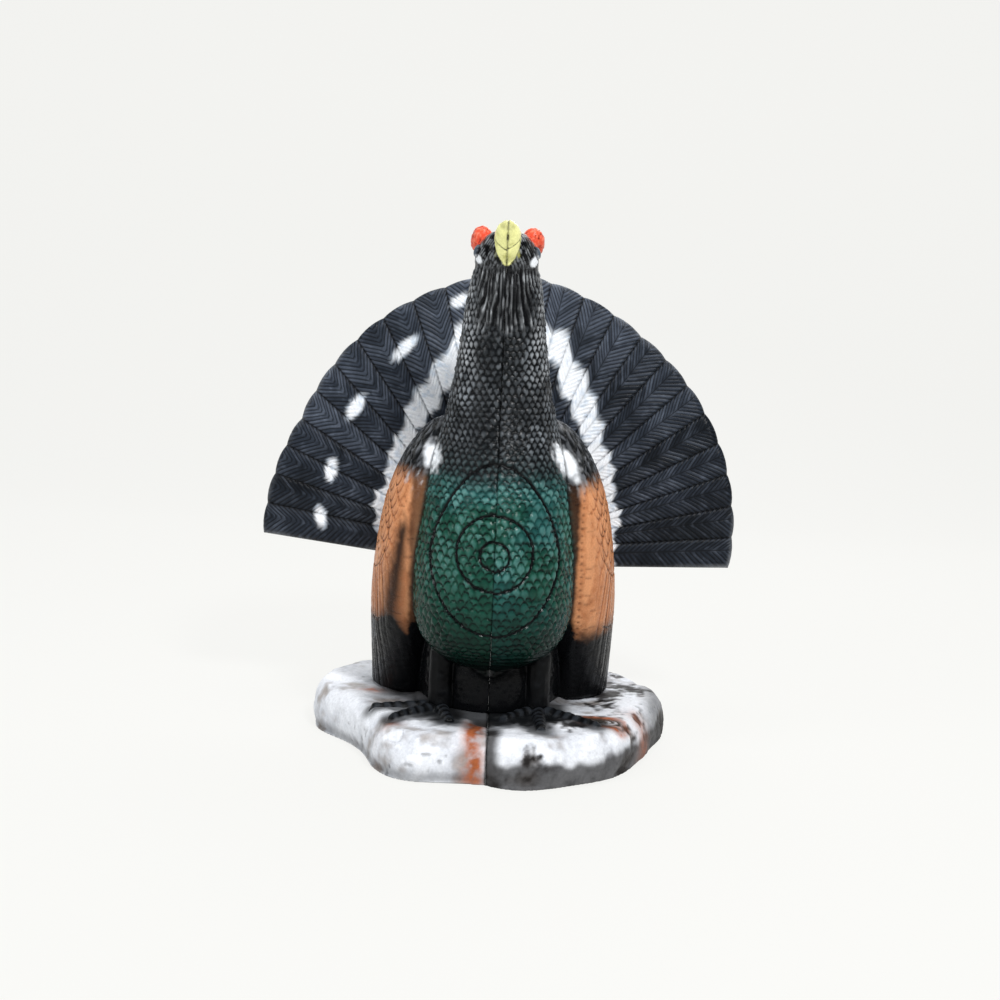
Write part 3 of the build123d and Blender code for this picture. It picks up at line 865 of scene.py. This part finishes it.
def fan_reach(turn):
    """The radius of the fan's edge at a turn from the bird's left, with one round tip to a feather."""
    long = SIDE_RADIUS + np.interp(turn, np.linspace(0, SPAN, len(EXTRA)), EXTRA)
    part = turn / (SPAN / FEATHERS)
    part = np.abs(part - np.floor(part) - 0.5) * 2
    return long - TIP_DEPTH * part**2


def fan_place(turn, reach):
    """Across and up in the fan's plane. The lowest feather on each side is trimmed straight."""
    one = SPAN / FEATHERS

    def polar(at):
        angle = np.radians(at + CANT)
        return columns(reach * np.cos(angle), ROOT_RISE + reach * np.sin(angle))

    plain = polar(turn)
    for end, side in ((0.0, 1.0), (SPAN, -1.0)):
        tip_reach = float(fan_reach(np.array([end]))[0])
        angle = math.radians(end + CANT)
        tip = np.array([tip_reach * math.cos(angle), ROOT_RISE + tip_reach * math.sin(angle)])
        heel = np.array([side * FLAT_HALF, 0.0])
        share = ((reach - FOOT_REACH) / (tip_reach - FOOT_REACH))[..., None]
        edge = heel + (tip - heel) * share
        inside = np.clip(np.abs(turn - end) / one, 0, 1)[..., None]
        near = (np.abs(turn - end) < one)[..., None]
        plain = np.where(near, edge * (1 - inside) + polar(np.full_like(turn, end + side * one))
            * inside, plain)
    return plain


def fan_sheet(rows_in_barb, barb_pitch, inner_rows):
    """One face of the fan as a grid: rows run from the foot to the tips and follow the barbs."""
    one = SPAN / FEATHERS
    turns = np.array([(f + c) * one for f in range(FEATHERS) for c in COLUMNS_IN_FEATHER] + [SPAN])
    feather = np.minimum(np.floor(turns / one + 1e-6), FEATHERS - 1)
    part = turns / one - feather
    # Each side of the fan mirrors the other: the wide vane is the lower one.
    flipped = turns > SPAN / 2
    vane = np.where(flipped, 1 - part, part)
    from_shaft = vane - SHAFT
    slope = np.where(from_shaft < 0, WIDE_SLOPE, NARROW_SLOPE)
    shear = math.radians(one) * slope * np.abs(from_shaft)
    step = barb_pitch / rows_in_barb
    count = int((SIDE_RADIUS + max(EXTRA) - FOOT_REACH * 0.85) / step) + 2
    shaft_reach = FOOT_REACH * 0.85 + np.arange(count) * step
    reach = shaft_reach[None, :] * (1 + shear[:, None])
    limit = fan_reach(turns)[:, None]
    kept = np.clip(reach, FOOT_REACH, limit)
    turn_grid = np.broadcast_to(turns[:, None], kept.shape)
    outer = fan_place(turn_grid.ravel(), kept.ravel()).reshape(*kept.shape, 2)
    # Inside the feathers' roots the same columns run on to the flat foot.
    foot = columns(np.linspace(FLAT_HALF, -FLAT_HALF, len(turns)), np.zeros(len(turns)))
    shares = np.linspace(0, 1, inner_rows, endpoint=False)
    inner = foot[:, None] * (1 - shares[None, :, None]) + outer[:, :1] * shares[None, :, None]
    grid = np.concatenate([inner, outer], axis=1)
    ways = np.concatenate([np.broadcast_to(shares * FOOT_REACH, (len(turns), inner_rows)), kept], axis=1)
    barbs = np.concatenate([np.zeros((len(turns), inner_rows)), kept / (1 + shear[:, None])], axis=1)
    turn_all = np.broadcast_to(turns[:, None], barbs.shape)
    vane_all = np.broadcast_to(vane[:, None], barbs.shape)
    feather_all = np.broadcast_to(feather[:, None], barbs.shape)
    edge = np.broadcast_to(limit, barbs.shape) - ways
    return grid, ways, barbs, turn_all, vane_all, feather_all, edge


def fan_skin(grid, ways, barbs, turn, vane, feather, edge, barb_pitch, back):
    """Depth in from the face, paint and gloss, for a sheet's points."""
    seed = 70 + 9 * back
    u, v = grid[..., 0].ravel(), grid[..., 1].ravel()
    ways, barbs, turn, vane, feather, edge = (a.ravel() for a in (ways, barbs, turn, vane, feather, edge))
    place = columns(u, v, 40.0 * back)
    fine = fbm(place, 6, 3, seed)
    broad = fbm(place, 55, 3, seed + 4)
    width = ways * math.radians(SPAN / FEATHERS)
    from_edge = np.minimum(vane, 1 - vane) * width
    from_shaft = np.abs(vane - SHAFT) * width
    drift = barbs / barb_pitch + 0.22 * noise(place, 24, seed + 2) + 0.16 * np.sin(feather * 1.7 + barbs / 17)
    barb_part = drift - np.floor(drift)
    barb_cut = smooth(0.34, 0.0, np.minimum(barb_part, 1 - barb_part))
    number = np.floor(drift)
    uneven = hashed(number + 9, feather + 3, 2, seed)
    feathered = smooth(FOOT_REACH, FOOT_REACH + 20, ways)
    depth = (1.25 + 0.7 * uneven) * barb_cut * smooth(0.6, 3.0, from_shaft)
    depth = depth + 1.7 * bell(from_edge, 1.1) + 1.1 * bell(from_shaft, 0.9)
    depth = depth - 0.8 * smooth(0, 6, from_edge) - 0.8 * vane * smooth(0, 3, from_edge)
    depth = depth * feathered + 0.4 * fine + 0.5 * broad
    lower = np.minimum(turn, SPAN - turn) * math.pi / 180 * ways
    lower = np.where(ways > FOOT_REACH, lower, 99)
    for distance in (edge, lower):
        gap = np.clip(RIM_ROUND - distance, 0, RIM_ROUND)
        depth = depth + RIM_ROUND - np.sqrt(np.maximum(RIM_ROUND**2 - gap**2, 0))
    at_rim = np.maximum(smooth(7, 0, edge), smooth(7, 0, lower))

    tone = np.clip(0.42 + 0.55 * broad + 0.55 * (hashed(feather + 4, 1, 1, seed) - 0.5) + 0.25 * fine, 0, 1)
    top = bell(turn - 90, 40) * smooth(200, 330, ways)
    slate = mix(SLATE_DARK, SLATE, smooth(0, 0.7, tone))
    slate = mix(slate, SLATE_LIGHT, np.clip(0.30 * smooth(0.5, 1, tone) + 0.40 * top + 0.45
        * (uneven - 0.55) + 0.25 * smooth(0.2, 0.6, fine), 0, 1))
    low_side = smooth(28, 8, np.minimum(turn, SPAN - turn))
    slate = slate * (1 - 0.30 * low_side)[:, None]
    # A band of white nearer the root, that follows the barbs, and five brushed marks further out on one side.
    off_top = np.abs(turn - 90)
    band_at = np.interp(off_top, [0, 12, 20, 30, 40, 50, 60, 88], [292, 286, 252, 220, 197, 180, 168, 154])
    band_half = np.interp(off_top, [0, 15, 30, 50, 88], [16, 20, 17, 12, 7])
    loose = 0.9 if back else 1.0
    level = 0.45 * barbs + 0.55 * ways / (1 + math.radians(SPAN / FEATHERS) * WIDE_SLOPE * SHAFT / 2)
    wander = 4 * np.sin(feather * 2.3) + 4 * fine + 5 * broad
    band = smooth(1.50, 0.75, np.abs(level - band_at + wander) / band_half + 0.25 * (uneven - 0.5))
    band = band * loose
    marks = np.zeros(len(u))
    for at, mark_reach, size in ((102.5, 354, 15), (118.6, 311, 23), (138.5, 281, 22), (158.0, 257, 17), (173.0, 251, 15)):
        sideways = np.radians(turn - at) * ways
        outward = ways - mark_reach + 0.28 * sideways
        if at > 130:
            outward = outward - 0.10 * sideways
        spot = np.hypot(sideways / size, outward / 9.5) + 0.25 * fine + 0.3 * (uneven - 0.5)
        marks = np.maximum(marks, smooth(1.25, 0.55, spot))
    white = np.clip(np.maximum(band, marks if not back else band), 0, 1)
    white_paint = mix(linear(206, 218, 232), WHITE, smooth(-0.3, 0.3, fine + 0.5 * white - 0.2))
    paint = mix(slate, white_paint, white)
    rooted = smooth(150, 105, ways) * (0.75 if back else 0.4)
    paint = mix(paint, linear(62, 52, 46), rooted * smooth(-0.4, 0.6, fine) * (1 - white))
    # Black in the barb grooves, along the vane edges and on the shafts: the pattern's dark lines, deepened as
    # painted shade in these grooves.
    paint = mix(paint, BLACK, 0.92 * barb_cut * feathered * (1 - 0.90 * white) * smooth(0.4, 2.0, from_shaft))
    paint = mix(paint, BLACK, np.clip(0.95 * bell(from_edge, 1.3) + 0.85 * bell(from_shaft, 1.0), 0, 1)
        * feathered * (1 - 0.6 * white))
    # Painted highlight: pale grey along the fan's rounded rim, brightest at its lower corners on the front.
    corner = bell(np.hypot(np.abs(u) - 326, v - 10), 22) if not back else 0 * u
    paint = mix(paint, linear(168, 172, 178),
        np.clip(0.55 * at_rim * smooth(-0.3, 0.5, broad + 0.3 * fine) * 0.4 + 0.5 * corner * at_rim, 0, 1))
    gloss = 0.30 + 0.10 * tone + 0.18 * white
    return depth, paint, gloss


def zip_chains(first, second):
    """Triangles between two chains of vertices that have different counts."""
    faces, i, j = [], 0, 0
    while i < len(first) - 1 or j < len(second) - 1:
        next_first = (i + 1) / max(len(first) - 1, 1)
        next_second = (j + 1) / max(len(second) - 1, 1)
        if j >= len(second) - 1 or (i < len(first) - 1 and next_first <= next_second):
            faces.append((first[i], first[i + 1], second[j]))
            i += 1
        else:
            faces.append((first[i], second[j + 1], second[j]))
            j += 1
    return faces


def build_fan(material):
    points, paints, glosses, faces, chains = [], [], [], [], []
    start = 0
    for back, rows_in_barb, pitch, inner_rows in ((0, 4, FRONT_PITCH, 5), (1, 3, BACK_PITCH, 8)):
        sheet = fan_sheet(rows_in_barb, pitch, inner_rows)
        depth, paint, gloss = fan_skin(*sheet, pitch, back)
        grid = sheet[0]
        wide, tall = grid.shape[:2]
        flat = grid.reshape(-1, 2)
        face_at = FAN_HALF - 0.6 - np.clip(depth, -0.5, 9)
        behind = face_at if back else -face_at
        local = columns(flat[:, 0], behind, flat[:, 1])
        points.append(local)
        paints.append(paint)
        glosses.append(gloss)
        index = start + np.arange(wide * tall).reshape(wide, tall)
        a, b, c, d = (k.ravel() for k in (index[:-1, :-1], index[1:, :-1], index[1:, 1:], index[:-1, 1:]))
        quads = np.stack([a, b, c, d] if back else [a, d, c, b], axis=1)
        faces += quads.tolist()
        chains.append((index[0, :], index[-1, :], index[:, 0], index[:, -1]))
        start += wide * tall
    front, rear = chains
    faces += [tuple(reversed(f)) for f in zip_chains(front[0].tolist(), rear[0].tolist())]
    faces += zip_chains(front[1].tolist(), rear[1].tolist())
    faces += zip_chains(front[2].tolist(), rear[2].tolist())
    faces += [tuple(reversed(f)) for f in zip_chains(front[3].tolist(), rear[3].tolist())]
    local = np.concatenate(points)
    mesh = bpy.data.meshes.new("tail_fan_painted")
    place = np.empty_like(local)
    place[:, 0] = local[:, 0]
    place[:, 1] = FAN_BACK + math.cos(FAN_TILT) * local[:, 1] + math.sin(FAN_TILT) * local[:, 2]
    place[:, 2] = LEDGE_Z - math.sin(FAN_TILT) * local[:, 1] + math.cos(FAN_TILT) * local[:, 2]
    mesh.from_pydata((place * MM).tolist(), [], faces)
    put_attribute(mesh, "paint", np.concatenate(paints))
    put_attribute(mesh, "gloss", np.concatenate(glosses))
    work = bmesh.new()
    work.from_mesh(mesh)
    bmesh.ops.remove_doubles(work, verts=work.verts, dist=0.00002)
    bmesh.ops.dissolve_degenerate(work, edges=work.edges, dist=0.00001)
    bmesh.ops.recalc_face_normals(work, faces=work.faces)
    work.to_mesh(mesh)
    work.free()
    obj = bpy.data.objects.new("tail_fan_painted", mesh)
    scene.collection.objects.link(obj)
    thinned(obj, FAN_TRIANGLES)
    return finish_piece(obj, "tail", "fan_foam", material, "tail_fan")


# ---- base halves ----

BASE_VOXEL = 1.9
BASE_TRIANGLES = 190000
STAKE_OUT = 56.0
STAKE_ROOM = 19.0
LEFT_TOES = [(-42, 64), (2, 92), (50, 96)]
RIGHT_TOES = [(-12, 74), (42, 84), (80, 88)]


def toe_coordinates(x, y, z, side):
    """Distance out from the nearest toe's centre line, and the way along it."""
    best = np.full(len(x), 99.0)
    way = np.zeros(len(x))
    for turn, long in LEFT_TOES if side > 0 else RIGHT_TOES:
        angle = math.radians(turn) * side
        heading = np.array([math.sin(angle), -math.cos(angle)])
        dx, dy = x - side * LEG_OUT, y - LEG_FORWARD
        along = dx * heading[0] + dy * heading[1]
        aside = dx * heading[1] - dy * heading[0]
        held = np.clip(along, 0, long)
        radius = 10 - 4.5 * held / long
        off = np.sqrt(aside**2 + (z - BASE_TOP) ** 2 + (along - held) ** 2) - radius
        way = np.where(off < best, along, way)
        best = np.minimum(best, off)
    return best, way


def pedestal_reach(x, y):
    """1 on the pedestal's outline, less inside it."""
    _, front, widest, back, half = RUMP[0]
    return np.hypot(x / half, (y - widest) / np.where(y < widest, widest - front, back - widest))


def base_skin(x, y, z, side, normals, seed):
    """Relief in millimetres, paint and gloss, for points on one half of the rock."""
    place = columns(x, y, z)
    fine = fbm(place, 6, 3, seed)
    lumps = fbm(place, 26, 3, seed + 5)
    toe_off, toe_way = toe_coordinates(x, y, z, side)
    toe = smooth(1.6, 0.2, toe_off)
    up_face = smooth(0.2, 0.7, normals[:, 2])
    side_face = smooth(0.75, 0.3, np.abs(normals[:, 2]))
    ridge = 1 - np.abs(noise(place, 30, seed + 20)) * 2
    crack = 0.35 * smooth(0.90, 0.99, ridge) * smooth(0.25, 0.5, noise(place, 45, seed + 21))
    under_bird = pedestal_reach(x, y)
    clear = smooth(1.0, 1.10, under_bird)
    knot_dx, knot_dy = x - 146, y + 106
    knot_u = (knot_dx * 0.94 + knot_dy * -0.34) / 27
    knot_v = (knot_dx * 0.34 + knot_dy * 0.94) / 17
    knot_reach = np.hypot(knot_u, knot_v)
    knot_turn = np.arctan2(knot_v, knot_u) / (2 * math.pi)
    spiral = np.abs(np.mod(knot_reach * 3.2 - knot_turn, 1) - 0.5) * 2
    knot = smooth(1.15, 0.95, knot_reach) * up_face
    swell = noise(place, 44, seed + 6)
    relief = (4.2 * swell + 2.4 * lumps + 0.7 * fine) * (up_face * clear + side_face) - 1.6 * crack * clear
    pits = smooth(0.45, 0.75, noise(place, 7, seed + 24)) * smooth(0.1, 0.5, noise(place, 33, seed + 25))
    relief = relief - 2.0 * up_face * clear - 0.8 * side_face - 1.2 * pits * clear
    relief = relief * (1 - knot) + knot * (1.6 * smooth(0.2, 0.8, spiral) - 1.8)
    joints = np.abs(np.sin((toe_way + 3 * noise(place, 14, seed + 23)) / 15.0 * math.pi))
    relief_toe = 1.3 * joints + 0.7 * noise(place, 5, seed + 22) - 0.9 + 0.4 * fine
    relief = relief * (1 - toe) + relief_toe * toe
    relief = relief - 1.6 * bell(x, 1.2) * (up_face + side_face)
    hidden = smooth(2.5, 0.6, z)
    relief = relief * (1 - hidden)

    # Paint: snow sprayed over rock, with rust and soot in places, and painted shade and shadow round where
    # the bird stands.
    cover = fbm(place, 48, 3, seed + 30) + 0.22 * fine
    # Painted shade: the snow greys in the hollows and goes brownish grey in the deepest ones; it is lighter
    # on the lumps.
    snow_tone = np.clip(0.80 + 0.55 * lumps + 0.45 * swell + 0.25 * fine - 0.5 * crack, 0, 1)
    snow = mix(SNOW_SHADE, SNOW, snow_tone)
    snow = mix(snow, linear(150, 138, 128), 0.75 * smooth(0.0, -0.6, lumps + 0.5 * swell))
    rock = mix(ROCK_DARK, ROCK, smooth(-0.5, 0.4, lumps + 0.4 * fine))
    if side < 0:
        snow_share = smooth(-0.55, -0.15, cover + 0.55)
        snow_share = snow_share * (1 - 0.85 * bell(np.hypot(x + 120, y - 10), 46))
        # Painted shade: less snow along the rim's lower edge.
        snow_share = snow_share * (1 - 0.55 * bell(z - 6, 9) * side_face)
        rust = bell(x + 16, 13) * smooth(-120, -150, y) + 0.75 * bell(np.hypot(x + 160, (y - 20)), 16)
        rust = rust + 0.8 * bell(np.hypot(x + 120, y + 150), 12)
    else:
        snow_share = smooth(-0.22, 0.12, cover + 0.6 * lumps + 0.10 + 0.30 * smooth(-120, -165, y))
        snow_share = snow_share * (1 - 0.92 * smooth(38, 26, z + 10 * lumps + 5 * swell))
        snow_share = snow_share * (1 - 0.95 * smooth(24, 8, x + 5 * lumps) * smooth(-150, -172, y))
        snow_share = snow_share * (1 - 0.7 * smooth(195, 225, x + 8 * lumps))
        rust = 0.8 * bell(knot_reach - 1.15, 0.4) * up_face + 0.5 * bell(np.hypot(x - 200, y + 60), 24)
    paint = mix(rock, snow, np.clip(snow_share, 0, 1))
    rust = np.clip(rust * (1.0 + 0.6 * fine + 0.8 * lumps), 0, 1)
    paint = mix(paint, RUST * (0.8 + 0.3 * fine)[:, None], rust)
    # Painted shade: darker in the cracks and pits.
    paint = mix(paint, linear(36, 30, 27), 0.4 * crack + 0.45 * pits * clear)
    paint = mix(paint, linear(58, 50, 42), knot * (1 - 0.75 * smooth(0.3, 0.8, spiral)))
    soot_feet = smooth(26, 4, toe_off + 7 * lumps) * up_face
    paint = mix(paint, SOOT, 0.85 * soot_feet)
    # Painted shadow: near black on the base in front of the pedestal, under the overhanging chest.
    shadow_under_chest = smooth(1.62, 1.22, under_bird + 0.16 * lumps) * smooth(10, -30, y) * up_face * smooth(120,
        90, np.abs(x))
    paint = mix(paint, SOOT, 0.92 * shadow_under_chest)
    # Painted shade: darker round the pedestal's foot at the sides and back.
    shade_round_pedestal = smooth(1.32, 1.04, under_bird + 0.10 * lumps) * smooth(-60, 20, y)
    paint = mix(paint, linear(52, 47, 44), 0.8 * shade_round_pedestal * (1 - soot_feet))
    # Painted highlight: the black toes lighten on their raised joints.
    toe_paint = mix(BLACK, linear(62, 67, 74), 0.35 * smooth(0.5, 1.0, joints + 0.5 * fine))
    paint = mix(paint, toe_paint, toe)
    paint = mix(paint, BLACK, 0.9 * bell(x, 1.7))
    bare = smooth(-0.6, -0.9, normals[:, 2]) + smooth(0.9, 0.5, np.abs(x)) * smooth(0.8, 0.95,
        np.abs(normals[:, 0]))
    foam = mix(FOAM_DARK, FOAM_LIGHT, smooth(-0.5, 0.5, fine))
    paint = mix(paint, foam, np.clip(bare, 0, 1))
    gloss = 0.46 + 0.12 * lumps - 0.08 * toe
    return relief, paint, np.clip(gloss, 0.3, 0.8)


def build_base_half(node, side, seed, material):
    obj = dense_copy(node, node + "_painted", BASE_VOXEL)
    x, y, z = (points_of(obj.data) / MM).T
    toe_off, _ = toe_coordinates(x, y, z, side)
    free = smooth(2.5, 7, z) * smooth(2.5, 9, np.abs(x)) * smooth(0.5, 4, toe_off)
    free = free * smooth(1.0, 1.06, pedestal_reach(x, y))
    softened(obj, free, 60)
    mesh = obj.data
    place = points_of(mesh) / MM
    normals = normals_of(mesh)
    relief, paint, gloss = base_skin(*place.T, side, normals, seed)
    pushed = normals.copy()
    pushed[:, 0] *= 1 - smooth(3.0, 0.7, np.abs(place[:, 0]))
    in_tube = np.hypot(np.abs(place[:, 0]) - STAKE_OUT, place[:, 1]) < STAKE_ROOM
    relief[in_tube] = 0
    moved = place + pushed * relief[:, None]
    moved[:, 0] = side * np.maximum(side * moved[:, 0], 0.02)
    moved[:, 2] = np.maximum(moved[:, 2], 0)
    set_points(mesh, moved * MM)
    put_attribute(mesh, "paint", paint)
    put_attribute(mesh, "gloss", gloss)
    thinned(obj, BASE_TRIANGLES)
    return finish_piece(obj, "base", "base_foam", material, node)


# ---- putting it together ----

bird_paint = painted_material("bird_paint")
fan_paint = painted_material("fan_paint", grain=480.0, bump=0.22)
rock_paint = painted_material("rock_paint", grain=300.0, bump=0.35, depth=0.0009)

build_body_half("left_body_half", 1, 5, bird_paint)
build_body_half("right_body_half", -1, 205, bird_paint)
build_fan(fan_paint)
build_base_half("left_base_half", 1, 305, rock_paint)
build_base_half("right_base_half", -1, 405, rock_paint)

beech = streaked_material("beech_dowel", linear(176, 132, 88), linear(214, 176, 128), (0.15, 2.2, 2.2),
    0.55, 0.25)
birch = streaked_material("birch_board", linear(188, 148, 104), linear(226, 194, 150), (2.4, 2.4, 0.18),
    0.5, 0.2, wavy=True)
fibre = streaked_material("fibreglass_rod", linear(198, 190, 150), linear(226, 222, 190),
    (3.0, 3.0, 0.05), 0.3, 0.15)
sleeve = streaked_material("moulded_sleeve", linear(20, 21, 22), linear(34, 35, 37), (1.0, 1.0, 0.4),
    0.42, 0.12)
for name, material in {
    "body_dowels": beech, "base_dowels": beech, "tail_tongue": birch, "neck_rod": fibre,
    "tail_socket": sleeve, "left_stake_tube": sleeve, "right_stake_tube": sleeve,
}.items():
    nodes[name].data.materials.clear()
    nodes[name].data.materials.append(material)


# ---- floor, light and camera ----


def build_stage():
    """A pale sheet that lies on the floor and curves up behind."""
    half, back, rise, turn = 6.0, 3.2, 4.0, 1.2
    profile = [(-6.0, 0.0), (back - turn, 0.0)]
    for k in range(1, 13):
        angle = math.pi / 2 * k / 12
        profile.append((back - turn + turn * math.sin(angle), turn - turn * math.cos(angle)))
    profile.append((back, rise))
    verts, faces = [], []
    for y, z in profile:
        verts += [(-half, y, z - 0.0003), (half, y, z - 0.0003)]
    for k in range(len(profile) - 1):
        faces.append((2 * k, 2 * k + 1, 2 * k + 3, 2 * k + 2))
    mesh = bpy.data.meshes.new("floor")
    mesh.from_pydata(verts, [], faces)
    mesh.polygons.foreach_set("use_smooth", [True] * len(faces))
    floor = bpy.data.objects.new("floor", mesh)
    scene.collection.objects.link(floor)
    material, _, shader = shader_tree("pale_floor")
    shader.inputs["Base Color"].default_value = (0.08, 0.08, 0.078, 1)
    shader.inputs["Roughness"].default_value = 0.9
    shader.inputs["Specular IOR Level"].default_value = 0.1
    shader.inputs["Emission Color"].default_value = (1, 1, 0.975, 1)
    shader.inputs["Emission Strength"].default_value = 0.835
    mesh.materials.append(material)


def soft_light(name, place, size, power, colour=(1, 1, 1)):
    data = bpy.data.lights.new(name, "AREA")
    data.shape = "DISK"
    data.size = size
    data.energy = power
    data.color = colour
    light = bpy.data.objects.new(name, data)
    light.location = place
    light.rotation_euler = (LIGHTS_AIM - Vector(place)).to_track_quat("-Z", "Y").to_euler()
    scene.collection.objects.link(light)


LIGHTS_AIM = Vector((0, 0, 0.33))
build_stage()
soft_light("key", (0.9, -2.1, 2.3), 0.55, 70)
soft_light("fill", (-2.0, -1.5, 1.3), 0.9, 24, (0.96, 0.98, 1))
soft_light("top", (0, 0.2, 2.6), 1.5, 26)
soft_light("rear", (0.6, 2.0, 1.8), 1.4, 16)

world = bpy.data.worlds.new("studio")
world.use_nodes = True
world.node_tree.nodes["Background"].inputs["Color"].default_value = (0.97, 0.98, 1, 1)
world.node_tree.nodes["Background"].inputs["Strength"].default_value = 0.14
scene.world = world
scene.view_settings.view_transform = "Standard"

CAMERA_AT = Vector((0, -2.2, 0.590))
CAMERA_LOOKS_AT = Vector((0.004, 0, 0.324))
lens = bpy.data.cameras.new("camera")
lens.sensor_width = 36
lens.lens = 60.9
camera = bpy.data.objects.new("camera", lens)
aim = (CAMERA_LOOKS_AT - CAMERA_AT).to_track_quat("-Z", "Y").to_matrix().to_4x4()
camera.matrix_world = Matrix.Translation(CAMERA_AT) @ aim @ Matrix.Rotation(math.radians(2.4), 4, "Z")
scene.collection.objects.link(camera)
scene.camera = camera
